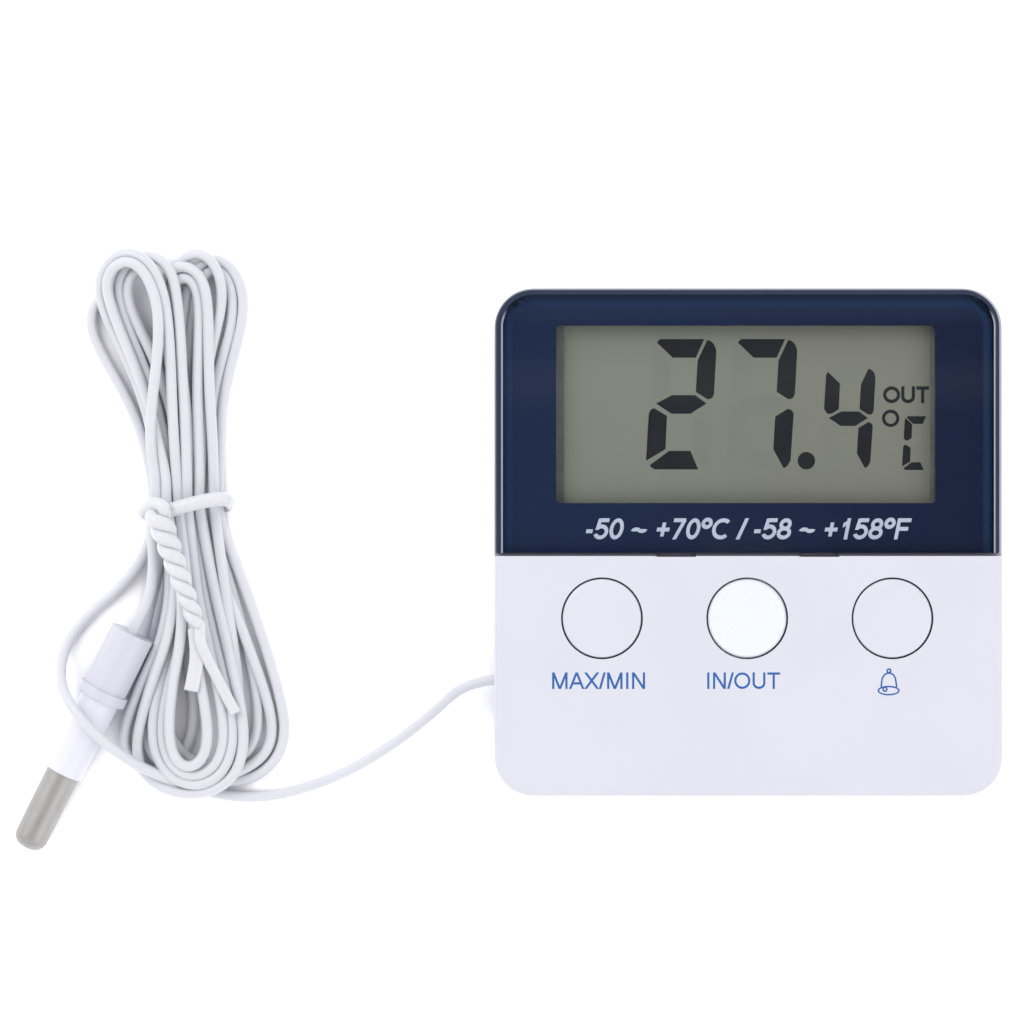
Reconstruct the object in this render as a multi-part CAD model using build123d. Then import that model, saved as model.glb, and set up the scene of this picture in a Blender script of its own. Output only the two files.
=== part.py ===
from build123d import *
import os
from math import cos, pi, radians, sin, tan

# Pocket-size maximum and minimum thermometer, lying on its back with the display up.
# Millimetres. Origin: middle of the case's flat back. +Z out of the display, +Y to the top
# of the display, +X to its right. The sensor cord, its tied hank and the probe lie to the left.

# ---- Case ----
CASE = 60.0                 # square case, side to side and top to bottom
HALF = CASE / 2
CASE_CORNER = 4.6           # corner radius seen from the front
FACE_Z = 15.0               # lower half of the face, with the buttons
STEP_Z = 13.6               # upper half of the face, under the window lens
PART_Z = 4.0                # parting line between the two shells
WALL = 1.5
FLOOR = 1.8                 # rear shell's floor
EDGE_ROUND = 0.7
INNER = HALF - WALL
LIP = 0.8                   # rear shell's lip inside the front shell
LIP_HIGH = 1.1
FIT = 0.1                   # gap where two pieces slide or nest
HAIR = 0.05                 # closer gap
PRESS_FIT = 0.02            # gap round a screw thread or a pin
TOUCH = 0.01                # gap under what rests on the table
CUT = 1.0                   # how far a cut runs on past the surface it opens
OVERLAP = 0.2               # how far two lumps of one piece run into each other

# ---- Window lens ----
LENS_INSET = 0.3
LENS_RIGHT_INSET = 0.4
LENS_BOTTOM_Y = -1.3
LENS_GAP = 0.35             # gap between lens and lower face
PRINT_THICK = 0.15
LENS_BEVEL = 0.5
WINDOW = (-22.7, 22.15, 4.6, 25.6)    # x0, x1, y0, y1 of the clear display area
WINDOW_CORNER = 0.5
TAB_SLOTS_X = (-8.55, 8.35)           # slots for the lens tabs, below the lens
TAB_SLOT_LONG = 4.7
TAB_SLOT_DEEP = 0.9

# ---- Display stack, from the front down ----
GLASS = (-24.1, 23.4, 1.4, 27.2)      # x0, x1, y0, y1 of the front glass
GLASS_THICK = 0.7
CONTACT_LEDGE = 2.6                   # front glass left bare for the contacts
POLARISER_THICK = 0.25
POLARISER_INSET = 0.4
GASKET_THICK = 0.3
GASKET_SHOW = (0.95, 0.45)            # gasket seen inside the window, left and right
GASKET_HIDDEN = 0.3                   # gasket held back above and below the window
SLAB_UNDER = STEP_Z - WALL            # inside of the face, over the display
GLASS_TOP = SLAB_UNDER - GASKET_THICK - POLARISER_THICK
GLASS_MID = GLASS_TOP - GLASS_THICK
GLASS_LOW = GLASS_MID - GLASS_THICK
REFLECTOR_LOW = GLASS_LOW - POLARISER_THICK
HOLDER_WALL = 1.1
HOLDER_GAP = 0.2                      # gap between the holder and the face
HOLDER_EYE = (1.9, 5.2, 1.8)          # ledge under the glass: sides, bottom, top
HOLDER_SLOT = (0.9, 0.2, 2.5)         # slot for the rubber strip: ends, bottom, top
STRIP = (1.1, 0.4, 2.3)               # rubber strip in that slot: ends, bottom, top
BOSS_CLEAR = (0.3, 0.4)               # clearance round the bosses: holder, board

# ---- Circuit board ----
BOARD_TOP = 8.0
BOARD_THICK = 1.2
BOARD_LOW = BOARD_TOP - BOARD_THICK
BOARD = (-27.0, 27.0, -14.5, 27.5)
BOARD_POST_X = (-8.75, 8.4)
BOARD_POST_Y = -5.0
BLOB = (0.0, 13.0)          # controller under epoxy, on the board's back
BLOB_R = 5.0
BLOB_FLAT = 0.3
CRYSTAL = (12.0, 17.0)
CRYSTAL_R = 1.0
CRYSTAL_LONG = 6.0
CRYSTAL_ROUND = 0.2
CHIP_ROW = (-12.0, 3.0)
CHIP = (1.8, 1.0, 0.6)
CHIPS = 5
CHIP_STEP = 2.6
ROOM_BEAD = (18.5, 8.0)
ROOM_BEAD_R = 1.1
ROOM_LEG_R = 0.2

# ---- Buttons and switches ----
BUTTON_PITCH = 17.13
BUTTON_MID_X = -0.18
BUTTON_Y = -9.0
BUTTON_NAMES = ("max_min", "in_out", "alarm")
BUTTON_HOLE_R = 4.83
CAP_R = 4.65
CAP_FLANGE_R = 5.4
CAP_FLANGE_LOW = 12.5
CAP_FLANGE_TOP = 13.4
CAP_DISH = 0.03             # how far the cap's middle is dished
CAP_ROUND = 0.3
CAP_STEM_R = 2.2
PRESS = 0.5                 # button travel, which the snap dome allows
SWITCH_SIDE = 6.0
SWITCH_TOP = 10.6
SWITCH_CHAMFER = 0.6
SWITCH_BORE_R = 1.78
SWITCH_BORE_LOW = 9.2
PLUNGER_R = 1.7
PLUNGER_LOW = 9.8
PLUNGER_TOP = 12.3
DOME_R = 1.63
DOME_HIGH = 0.5
DOME_THICK = 0.12

# ---- Battery ----
CELL_R = 5.25               # AAA cell
CELL_LONG = 44.5
CELL_ROUND = 0.4
NUB_LONG = 0.8
NUB_R = 1.9
CELL_Y = -21.6
CELL_Z = 7.0
TRAY_HALF = 24.9
TRAY_WALL = 0.9
SOLDER_TAB_Z = (5.2, BOARD_LOW)       # each contact plate's tab, up to the board's back
SOLDER_TAB_Y = -13.6
TRAY_Y = (-27.2, -16.0)
TRAY_ROOF = 12.5
TRAY_ROOF_THICK = 0.6
PLATE_THICK = 0.3
PLATE_HALF = 4.2
SPRING_WIRE_R = 0.35
SPRING_R = 3.0
SPRING_TURNS = 3

# ---- Battery door ----
DOOR_HALF = 24.4
DOOR_TOP_Y = -15.6
DOOR_THICK = 1.3
GRIP_GROOVES = 5
GRIP_Y = -26.0
GRIP_STEP = 1.3
GRIP_HALF = 4.5
GRIP_DEEP = 0.35
TONGUE = 0.8
TONGUE_Z = (0.7, 1.25)
TONGUE_INSET = (2.0, 1.0)   # tongues stop short of the door's outer and inner ends

# ---- Stand ----
STAND_HALF = 9.6
STAND_HINGE_Y = -12.0
STAND_HINGE_Z = 1.05
STAND_TOP_Y = 16.0
STAND_Z = (0.25, 1.7)
STAND_EDGE = 5.0            # rails of the stand's open frame
STAND_ROOT = 5.0            # solid stretch next to the hinge
STAND_CORNER = 1.0
STAND_EYE_CORNER = 1.5
KNUCKLE_R = 0.85
PIN_R = 0.5
PIN_LONG = 22.0
RECESS = (-10.0, 10.0, -13.6, 16.5)
RECESS_DEEP = 2.0
RECESS_ROOF = 1.2
RECESS_SPARE = 0.4          # wall beyond the fingertip scoop
FINGER_R = 3.2
FINGER_Y = 15.9

# ---- Keyhole for a nail ----
KEYHOLE_Y = 23.2
KEYHOLE_R = 3.0
KEYHOLE_SLOT = 3.2
KEYHOLE_TOP = 27.4
KEYHOLE_POCKET = (-4.0, 4.0, 20.0, INNER, FLOOR, 3.6)
KEYHOLE_BOX = (-5.2, 5.2, 19.0, INNER, FLOOR / 2, 4.8)

# ---- Alarm sounder and vents ----
SOUNDER = (-18.2, 8.0)
SOUNDER_R = 6.4
CERAMIC_R = 4.5
SOUNDER_THICK = (0.25, 0.2)           # brass disc, ceramic disc
SOUND_HOLE_R = 0.6
SOUND_RING_R = 3.0
SOUND_RING = 6
VENT_X = (15.0, 22.0)
VENT_Y = 4.0
VENT_STEP = 2.0
VENT_WIDE = 0.8
VENTS = 4

# ---- Screws ----
SCREW_X = 26.2
SCREW_Y = (25.5, -9.5)
POST_R = 2.2
BOSS_R = 1.9
POST_TOP = 5.2
SCREW_R = 1.0
SCREW_HEAD_R = 1.9
SCREW_HEAD_Z = (0.4, 1.6)
SCREW_TOP = 10.5
SCREW_SPARE = 0.5           # depth of the hole past the screw's end
SCREW_CLEAR = 0.15          # gap where a screw passes through freely
SCREW_CROSS = (1.2, 0.2, 0.5)         # cross slot: half length, half width, depth
BOARD_POST_R = 1.6
BOARD_SCREW_R = 0.75
BOARD_SCREW_HEAD_R = 1.5
BOARD_SCREW_HEAD = 1.0
BOARD_SCREW_LONG = 3.0      # reach above the board
BOARD_HOLE_R = 0.95

# ---- Sensor cord ----
CORD_R = 0.65
EXIT_Y = -16.6
EXIT_HOLE_R = 0.72
STOP_R = 1.7
STOP_LONG = 1.9
STOP_ROUND = 0.3
STOP_ROOM = (-INNER, -INNER + 2.2, EXIT_Y - 2.1, EXIT_Y + 4.9, 2.1, 7.0)
TABLE = CORD_R + TOUCH      # height of a cord lying on the table
WIRE_R = 0.3
WIRE_PADS = ((-25.4, -12.2), (-24.0, -12.9))
WIRE_START = 0.5            # first core leaves the stop this far in
WIRE_STEP = 0.9
WIRE_TURN = (0.3, 0.4, 1.5) # sidestep and two rises on the way to the pad
BEND_SHARE = 0.45           # share of the shorter run that each bend takes up

# Lead: out of the case's left side, down to the table, under the hank's lower loops,
# over the probe and round it, then up into the hank's waist.
LEAD_ROUTE = (
    (-28.4, EXIT_Y, PART_Z),
    (-34.2, EXIT_Y, PART_Z),
    (-41.5, -24.0, TABLE),
    (-49.5, -28.9, TABLE),
    (-59.5, -31.4, TABLE),
    (-67.5, -30.6, TABLE),
    (-75.7, -24.8, 10.0),
    (-81.0, -16.0, 10.0),
    (-85.0, -9.0, 1.8),
    (-80.5, -4.2, TABLE),
    (-75.4, -3.0, TABLE),
    (-72.65, 1.3, 1.3),
)

# ---- Hank of cord and its wire tie ----
HANK_HIGH = 2.8
WAIST = (-73.3, -62.3, 1.0, 9.5)      # x0, x1, y0, y1 of the bundle at the tie
WAIST_Z = (0.5, 3.9)
UPPER_LOOPS = ((-74.8, 30.9, 4.5), (-65.1, 30.3, 4.9))     # x, y, radius of each fan of loops
LOWER_LOOPS = ((-61.3, -22.6, 6.1), (-67.4, -22.4, 3.9))
UPPER_ROOT = (-72.7, -62.3, 8.0, 9.0)     # where the upper loops run into the waist
LOWER_ROOT = (-70.0, -62.6, 1.2, 2.2)     # where the lower loops run into it
TIE_Y = (3.6, 5.6)
TIE_THICK = 0.5
TIE_TWIST = ((-69.9, 4.2, 5.5), (-65.7, -10.2, 4.6), 1.35) # start, end, radius
TIE_ROOT = 0.95             # where along the twist the loose ends begin
TIE_ENDS = (((-66.4, -18.0, 3.2), 1.7), ((-61.2, -20.8, 3.2), 1.3))
TIE_END_THICK = 0.5

# ---- Probe, lying on its collar and its tip ----
PROBE_TOP = (-73.68, -11.07, 3.45)
PROBE_HEADING = (-0.449, -0.893)      # from the cord end towards the tip, seen from above
CAP_END_R = 2.7
COLLAR_R = 3.05
SLEEVE_R = 2.4
TIP_R = 2.0
TIP_BURIED_R = 1.7          # the metal tube is necked down where the sleeve grips it
CAP_LONG = 7.6              # from the cord end to the collar
COLLAR_LONG = 1.2
SLEEVE_END = 18.9
PROBE_LONG = 29.1
TIP_BURIED = 5.9            # length of the metal tip inside the sleeve
TIP_WALL = 0.25
TIP_ROUND = 1.5             # rounding of the tip's closed end
TIP_FLOOR = 1.0
SPIGOT_R = 1.55             # sleeve's spigot inside the cap
SPIGOT_START = 4.6
SPIGOT_SPARE = 0.5          # depth of the cap's bore past the spigot
CORE_R = 1.0                # hollow for the two cores
BEAD_R = 0.9
BEAD_ALONG = PROBE_LONG - 3.5
CORD_HOLE_DEEP = 1.5
CORD_HOLE_R = 0.7
POTTING_GAP = 0.2
TAIL_START = (-71.2, 1.3, 1.4)
TAIL_BEND = (-71.0, -3.6, 1.6)
TAIL_STRAIGHT = 3.0         # straight run of cord before the cap


def block(x0, x1, y0, y1, z0, z1):
    """A plain block between two corners."""
    middle = Pos((x0 + x1) / 2, (y0 + y1) / 2, (z0 + z1) / 2)
    return middle * Box(x1 - x0, y1 - y0, z1 - z0)


def rounded(x0, x1, y0, y1, z0, z1, radius):
    """A block with its four upright edges rounded."""
    outline = Pos((x0 + x1) / 2, (y0 + y1) / 2) * RectangleRounded(x1 - x0, y1 - y0, radius)
    return Pos(0, 0, z0) * extrude(outline, amount=z1 - z0)


def rod(x, y, z0, z1, radius):
    """An upright round rod."""
    return Pos(x, y, (z0 + z1) / 2) * Cylinder(radius, z1 - z0)


def rod_x(x0, x1, y, z, radius):
    """A round rod along X."""
    return Pos((x0 + x1) / 2, y, z) * Rot(0, 90, 0) * Cylinder(radius, x1 - x0)


def screw_places():
    """Centres of the four case screws."""
    return [(side * SCREW_X, y) for side in (-1, 1) for y in SCREW_Y]


def button_places():
    """Name and X of each button, from left to right."""
    return [(name, BUTTON_MID_X + (i - 1) * BUTTON_PITCH) for i, name in enumerate(BUTTON_NAMES)]


def window_hole(z0, z1):
    """The display opening, through the face or the print."""
    x0, x1, y0, y1 = WINDOW
    return rounded(x0, x1, y0, y1, z0, z1, WINDOW_CORNER)


def cord_exit_hole():
    """Round hole in the left wall for the sensor cord."""
    return rod_x(-HALF - CUT, -INNER + LIP + FIT, EXIT_Y, PART_Z, EXIT_HOLE_R)


# ---------------------------------------------------------------- case

def front_shell():
    """White front: side walls, stepped face, button holes, screw bosses and board posts."""
    lower = rounded(-HALF, HALF, -HALF, HALF, PART_Z, FACE_Z, CASE_CORNER)
    lower = fillet(lower.faces().sort_by(Axis.Z)[-1].edges(), EDGE_ROUND)
    split_y = LENS_BOTTOM_Y - LENS_GAP
    shell = lower - block(-CASE, CASE, split_y, CASE, STEP_Z, FACE_Z + CUT)
    hollow_corner = CASE_CORNER - WALL
    shell -= rounded(-INNER, INNER, -INNER, INNER, PART_Z - CUT, SLAB_UNDER, hollow_corner)
    deeper = rounded(-INNER, INNER, -INNER, INNER, SLAB_UNDER - CUT, FACE_Z - WALL, hollow_corner)
    shell -= deeper & block(-CASE, CASE, -CASE, split_y - WALL, 0, FACE_Z)
    for x, y in screw_places():
        face_z = STEP_Z if y > split_y else FACE_Z
        shell += rod(x, y, POST_TOP + FIT, face_z - WALL / 2, BOSS_R)
        shell -= rod(x, y, POST_TOP, SCREW_TOP + SCREW_SPARE, SCREW_R + PRESS_FIT)
    for x in BOARD_POST_X:
        shell += rod(x, BOARD_POST_Y, BOARD_TOP, FACE_Z - WALL / 2, BOARD_POST_R)
        hole_top = BOARD_TOP + BOARD_SCREW_LONG + SCREW_SPARE
        shell -= rod(x, BOARD_POST_Y, BOARD_TOP - CUT, hole_top, BOARD_SCREW_R + PRESS_FIT)
    for _, x in button_places():
        shell -= rod(x, BUTTON_Y, FACE_Z - WALL - CUT, FACE_Z + CUT, BUTTON_HOLE_R)
    for x in TAB_SLOTS_X:
        half = TAB_SLOT_LONG / 2
        low = STEP_Z - TAB_SLOT_DEEP
        shell -= block(x - half, x + half, split_y - FIT, split_y + LENS_GAP, low, FACE_Z)
    shell -= window_hole(SLAB_UNDER - CUT, STEP_Z + CUT)
    return shell - cord_exit_hole()


def rear_floor():
    """The rear shell's floor and outer wall, before its openings."""
    body = rounded(-HALF, HALF, -HALF, HALF, 0, PART_Z, CASE_CORNER)
    body = fillet(body.faces().sort_by(Axis.Z)[0].edges(), EDGE_ROUND)
    corner = CASE_CORNER - WALL
    body -= rounded(-INNER, INNER, -INNER, INNER, FLOOR, PART_Z + CUT, corner)
    out = INNER - FIT
    lip = rounded(-out, out, -out, out, PART_Z - CUT, PART_Z + LIP_HIGH, corner)
    inside = out - LIP
    bore = rounded(-inside, inside, -inside, inside, FLOOR, PART_Z + LIP_HIGH + CUT, corner - LIP)
    lip -= bore
    skirt = block(-CASE, CASE, -CASE, CASE, PART_Z, PART_Z + LIP_HIGH)
    root = rounded(-INNER, INNER, -INNER, INNER, PART_Z - CUT, PART_Z, corner) - bore
    return body + (lip & skirt) + root


def battery_tray():
    """Walls and roof round the cell."""
    y0, y1 = TRAY_Y
    half = TRAY_HALF + TRAY_WALL
    tray = block(-half, half, y0 - TRAY_WALL, y1 + TRAY_WALL, FLOOR / 2, TRAY_ROOF + TRAY_ROOF_THICK)
    tray -= block(-TRAY_HALF, TRAY_HALF, y0, y1, 0, TRAY_ROOF)
    z0, z1 = SOLDER_TAB_Z
    for side in (-1, 1):
        x0, x1 = plate_span(side)
        tray -= block(x0 - FIT, x1 + FIT, y1 - CUT, y1 + TRAY_WALL + CUT, z0 - FIT, z1 + FIT)
    return tray


def door_space():
    """Room for the battery door and its two side tongues."""
    wide = DOOR_HALF + FIT
    space = block(-wide, wide, -HALF - CUT, DOOR_TOP_Y + FIT, -CUT, DOOR_THICK + HAIR)
    space += block(-wide, wide, TRAY_Y[0], TRAY_Y[1], -CUT, FLOOR + CUT)
    z0, z1 = TONGUE_Z
    reach = wide + TONGUE
    return space + block(-reach, reach, -HALF - CUT, DOOR_TOP_Y + FIT, z0 - HAIR, z1 + HAIR)


def stand_box():
    """Raised box over the stand's recess."""
    x0, x1, y0, y1 = RECESS
    top = RECESS_DEEP + RECESS_ROOF
    low, high = y0 - RECESS_ROOF / 2, y1 + FINGER_R + RECESS_SPARE
    return block(x0 - RECESS_ROOF, x1 + RECESS_ROOF, low, high, FLOOR / 2, top)


def stand_space():
    """Recess for the folded stand, with a scoop for a fingertip at its free end."""
    x0, x1, y0, y1 = RECESS
    space = block(x0, x1, y0, y1, -CUT, RECESS_DEEP)
    space += rod(0, FINGER_Y, -CUT, RECESS_DEEP, FINGER_R)
    reach = PIN_LONG / 2 + FIT
    return space + rod_x(-reach, reach, STAND_HINGE_Y, STAND_HINGE_Z, PIN_R + PRESS_FIT)


def keyhole_space():
    """Round entry with a narrow slot above it, for a nail head."""
    half = KEYHOLE_SLOT / 2
    hole = rod(0, KEYHOLE_Y, -CUT, FLOOR, KEYHOLE_R)
    hole += block(-half, half, KEYHOLE_Y, KEYHOLE_TOP - half, -CUT, FLOOR)
    hole += rod(0, KEYHOLE_TOP - half, -CUT, FLOOR, half)
    return hole + block(*KEYHOLE_POCKET)


def sound_and_vent_holes():
    """Ring of sound holes under the sounder, and vents by the room-air sensor."""
    x, y = SOUNDER
    holes = rod(x, y, -CUT, FLOOR + CUT, SOUND_HOLE_R)
    for i in range(SOUND_RING):
        angle = 2 * pi * i / SOUND_RING
        across = SOUND_RING_R * cos(angle)
        up = SOUND_RING_R * sin(angle)
        holes += rod(x + across, y + up, -CUT, FLOOR + CUT, SOUND_HOLE_R)
    for i in range(VENTS):
        low = VENT_Y + VENT_STEP * i
        holes += block(*VENT_X, low, low + VENT_WIDE, -CUT, FLOOR + CUT)
    return holes


def rear_shell():
    """White back: floor, cell tray, screw posts, stand recess and keyhole."""
    shell = rear_floor() + battery_tray() + stand_box()
    shell += block(*KEYHOLE_BOX)
    for x, y in screw_places():
        shell += rod(x, y, FLOOR / 2, POST_TOP, POST_R)
    shell -= keyhole_space()
    shell -= stand_space()
    shell -= door_space()
    shell -= sound_and_vent_holes()
    for x, y in screw_places():
        shell -= rod(x, y, -CUT, POST_TOP + CUT, SCREW_R + SCREW_CLEAR)
        shell -= rod(x, y, -CUT, SCREW_HEAD_Z[1], SCREW_HEAD_R + FIT)
    shell -= block(*STOP_ROOM)
    return shell - cord_exit_hole()


def case_screws():
    """Four identical screws, up through the rear shell into the front shell."""
    screws = []
    z0, z1 = SCREW_HEAD_Z
    long, wide, deep = SCREW_CROSS
    for x, y in screw_places():
        screw = rod(x, y, z0, z1, SCREW_HEAD_R) + rod(x, y, z1 - OVERLAP, SCREW_TOP, SCREW_R)
        screw -= block(x - long, x + long, y - wide, y + wide, z0 - CUT, z0 + deep)
        screw -= block(x - wide, x + wide, y - long, y + long, z0 - CUT, z0 + deep)
        screws.append(screw)
    return Compound(children=screws)


def battery_door():
    """Sliding door with two side tongues and five grip grooves."""
    door = block(-DOOR_HALF, DOOR_HALF, -HALF, DOOR_TOP_Y, 0, DOOR_THICK)
    outer_edge = door.edges().filter_by(Axis.X).group_by(Axis.Z)[0].sort_by(Axis.Y)[0]
    door = fillet(outer_edge, EDGE_ROUND)
    reach = DOOR_HALF + TONGUE
    outer, inner = TONGUE_INSET
    door += block(-reach, reach, -HALF + outer, DOOR_TOP_Y - inner, *TONGUE_Z)
    for i in range(GRIP_GROOVES):
        y = GRIP_Y + GRIP_STEP * i
        door -= block(-GRIP_HALF, GRIP_HALF, y, y + GRIP_STEP / 2, -CUT, GRIP_DEEP)
    return door


def stand_leg():
    """Open-frame leg with a round knuckle that turns on the hinge pin."""
    z0, z1 = STAND_Z
    leg = rounded(-STAND_HALF, STAND_HALF, STAND_HINGE_Y, STAND_TOP_Y, z0, z1, STAND_CORNER)
    opening = STAND_HALF - STAND_EDGE
    y0, y1 = STAND_HINGE_Y + STAND_ROOT, STAND_TOP_Y - STAND_EDGE
    leg -= rounded(-opening, opening, y0, y1, 0, FLOOR, STAND_EYE_CORNER)
    leg += rod_x(-STAND_HALF, STAND_HALF, STAND_HINGE_Y, STAND_HINGE_Z, KNUCKLE_R)
    return leg - rod_x(-CASE, CASE, STAND_HINGE_Y, STAND_HINGE_Z, PIN_R + HAIR)


def stand_pin():
    """Steel pin that the stand turns on."""
    return rod_x(-PIN_LONG / 2, PIN_LONG / 2, STAND_HINGE_Y, STAND_HINGE_Z, PIN_R)


# ---------------------------------------------------------------- window and display

def lens_outline(z0, z1):
    """The lens seen from the front: round top corners, nearly square bottom ones."""
    out = HALF - LENS_INSET
    plate = rounded(-out, HALF - LENS_RIGHT_INSET, -out, out, z0, z1, CASE_CORNER - LENS_INSET)
    return plate & block(-CASE, CASE, LENS_BOTTOM_Y, CASE, z0, z1)


def window_lens():
    """Clear lens over the upper half of the face, bevelled round its front edge."""
    lens = lens_outline(STEP_Z + PRINT_THICK, FACE_Z)
    front = lens.faces().sort_by(Axis.Z)[-1]
    sides = [edge for edge in front.edges() if edge.center().Y > LENS_BOTTOM_Y + LENS_BEVEL]
    return chamfer(sides, LENS_BEVEL)


def window_print():
    """Printed film behind the lens, clear only over the display."""
    return lens_outline(STEP_Z, STEP_Z + PRINT_THICK) - window_hole(STEP_Z - CUT, STEP_Z + CUT)


def display_gasket():
    """Foam frame between the face and the display."""
    x0, x1, y0, y1 = GLASS
    frame = block(x0, x1, y0, y1, SLAB_UNDER - GASKET_THICK, SLAB_UNDER)
    left, right = GASKET_SHOW
    wx0, wx1, wy0, wy1 = WINDOW
    wy0, wy1 = wy0 - GASKET_HIDDEN, wy1 + GASKET_HIDDEN
    return frame - block(wx0 + left, wx1 - right, wy0, wy1, 0, FACE_Z)


def display_sheet(z0, z1, inset, ledge):
    """One sheet of the display stack."""
    x0, x1, y0, y1 = GLASS
    return block(x0 + inset, x1 - inset, y0 + inset + ledge, y1 - inset, z0, z1)


def display_holder():
    """Frame that holds the glass over the board, with a slot for the rubber strip."""
    x0, x1, y0, y1 = GLASS
    holder = block(x0 - HOLDER_WALL - FIT, x1 + HOLDER_WALL + FIT, y0 - HOLDER_WALL - FIT,
                   y1 + HOLDER_WALL / 2, BOARD_TOP, SLAB_UNDER - HOLDER_GAP)
    holder -= block(x0 - FIT, x1 + FIT, y0 - FIT, y1 + FIT, REFLECTOR_LOW, FACE_Z)
    side, low, high = HOLDER_EYE
    holder -= block(x0 + side, x1 - side, y0 + low, y1 - high, 0, FACE_Z)
    side, low, high = HOLDER_SLOT
    holder -= block(x0 + side, x1 - side, y0 + low, y0 + high, 0, FACE_Z)
    for x, y in screw_places():
        holder -= rod(x, y, 0, FACE_Z, BOSS_R + BOSS_CLEAR[0])
    return holder


def rubber_contact_strip():
    """Conductive rubber strip between the board and the display's bare ledge."""
    x0, x1, y0, _ = GLASS
    side, low, high = STRIP
    return block(x0 + side, x1 - side, y0 + low, y0 + high, BOARD_TOP, GLASS_MID)


# ---------------------------------------------------------------- board and its parts

def circuit_board():
    """Board with clearance round the screw bosses and holes for its own screws."""
    x0, x1, y0, y1 = BOARD
    board = block(x0, x1, y0, y1, BOARD_LOW, BOARD_TOP)
    for x, y in screw_places():
        board -= rod(x, y, 0, FACE_Z, BOSS_R + BOSS_CLEAR[1])
    for x in BOARD_POST_X:
        board -= rod(x, BOARD_POST_Y, 0, FACE_Z, BOARD_HOLE_R)
    return board


def board_screws():
    """Two screws that hold the board to the front shell."""
    screws = []
    long, wide, deep = SCREW_CROSS
    y = BOARD_POST_Y
    low = BOARD_LOW - BOARD_SCREW_HEAD
    for x in BOARD_POST_X:
        head = rod(x, y, low, BOARD_LOW, BOARD_SCREW_HEAD_R)
        shank = rod(x, y, BOARD_LOW - OVERLAP, BOARD_TOP + BOARD_SCREW_LONG, BOARD_SCREW_R)
        slot = block(x - long, x + long, y - wide, y + wide, 0, low + deep)
        screws.append(head + shank - slot)
    return Compound(children=screws)


def controller_blob():
    """Epoxy blob over the controller chip, on the board's back."""
    x, y = BLOB
    ball = Pos(x, y, BOARD_LOW) * scale(Sphere(BLOB_R), by=(1, 1, BLOB_FLAT))
    return ball & block(x - CASE, x + CASE, y - CASE, y + CASE, 0, BOARD_LOW)


def clock_crystal():
    """Watch crystal lying on the board's back."""
    x, y = CRYSTAL
    can = Pos(x, y, BOARD_LOW - CRYSTAL_R) * Rot(90, 0, 0) * Cylinder(CRYSTAL_R, CRYSTAL_LONG)
    return fillet(can.edges(), CRYSTAL_ROUND)


def chip_capacitors():
    """A row of identical small chip parts."""
    x, y = CHIP_ROW
    long, wide, high = CHIP
    chips = []
    for i in range(CHIPS):
        left = x + CHIP_STEP * i
        chips.append(block(left, left + long, y, y + wide, BOARD_LOW - high, BOARD_LOW))
    return Compound(children=chips)


def room_thermistor():
    """Bead thermistor for room air, over the vents."""
    x, y = ROOM_BEAD
    sensor = Pos(x, y, BOARD_LOW - 2 * ROOM_BEAD_R) * Sphere(ROOM_BEAD_R)
    for side in (-1, 1):
        sensor += rod(x + side * ROOM_BEAD_R / 2, y, BOARD_LOW - 2 * ROOM_BEAD_R, BOARD_LOW, ROOM_LEG_R)
    return sensor


def sounder_disc():
    """Brass disc of the alarm sounder, on the rear shell's floor."""
    return rod(*SOUNDER, FLOOR, FLOOR + SOUNDER_THICK[0], SOUNDER_R)


def sounder_ceramic():
    """Ceramic disc bonded to the brass one."""
    low = FLOOR + SOUNDER_THICK[0]
    return rod(*SOUNDER, low, low + SOUNDER_THICK[1], CERAMIC_R)


# ---------------------------------------------------------------- buttons

def button_cap(x):
    """Round cap with a retaining flange; its top is slightly dished."""
    cap = rod(x, BUTTON_Y, CAP_FLANGE_TOP - OVERLAP, FACE_Z, CAP_R)
    cap = fillet(cap.edges().sort_by(Axis.Z)[-1], CAP_ROUND)
    ball = (CAP_R ** 2 + CAP_DISH ** 2) / (2 * CAP_DISH)
    cap -= Pos(x, BUTTON_Y, FACE_Z - CAP_DISH + ball) * Sphere(ball)
    cap += rod(x, BUTTON_Y, CAP_FLANGE_LOW, CAP_FLANGE_TOP, CAP_FLANGE_R)
    return cap + rod(x, BUTTON_Y, PLUNGER_TOP, CAP_FLANGE_LOW, CAP_STEM_R)


def switch_housing(x):
    """Tact switch body with the plunger's bore."""
    half = SWITCH_SIDE / 2
    body = block(x - half, x + half, BUTTON_Y - half, BUTTON_Y + half, BOARD_TOP, SWITCH_TOP)
    body = chamfer(body.edges().filter_by(Axis.Z), SWITCH_CHAMFER)
    return body - rod(x, BUTTON_Y, SWITCH_BORE_LOW, SWITCH_TOP + CUT, SWITCH_BORE_R)


def switch_plunger(x):
    """Plunger between the cap and the snap dome."""
    return rod(x, BUTTON_Y, PLUNGER_LOW, PLUNGER_TOP, PLUNGER_R)


def switch_dome(x):
    """Sprung metal dome under the plunger."""
    ball = (DOME_R ** 2 + DOME_HIGH ** 2) / (2 * DOME_HIGH)
    middle = Pos(x, BUTTON_Y, SWITCH_BORE_LOW + DOME_HIGH - ball)
    dome = middle * Sphere(ball) - middle * Sphere(ball - DOME_THICK)
    return dome & rod(x, BUTTON_Y, SWITCH_BORE_LOW, SWITCH_BORE_LOW + DOME_HIGH + CUT, DOME_R)


# ---------------------------------------------------------------- battery

def cell_start():
    """X of the cell's flat end."""
    return TRAY_HALF - FIT - PLATE_THICK - CELL_LONG


def battery_cell():
    """AAA cell with its positive nub to the right."""
    x0 = cell_start()
    x1 = x0 + CELL_LONG - NUB_LONG
    can = fillet(rod_x(x0, x1, CELL_Y, CELL_Z, CELL_R).edges(), CELL_ROUND)
    return can + rod_x(x1 - OVERLAP, x1 + NUB_LONG, CELL_Y, CELL_Z, NUB_R)


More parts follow.
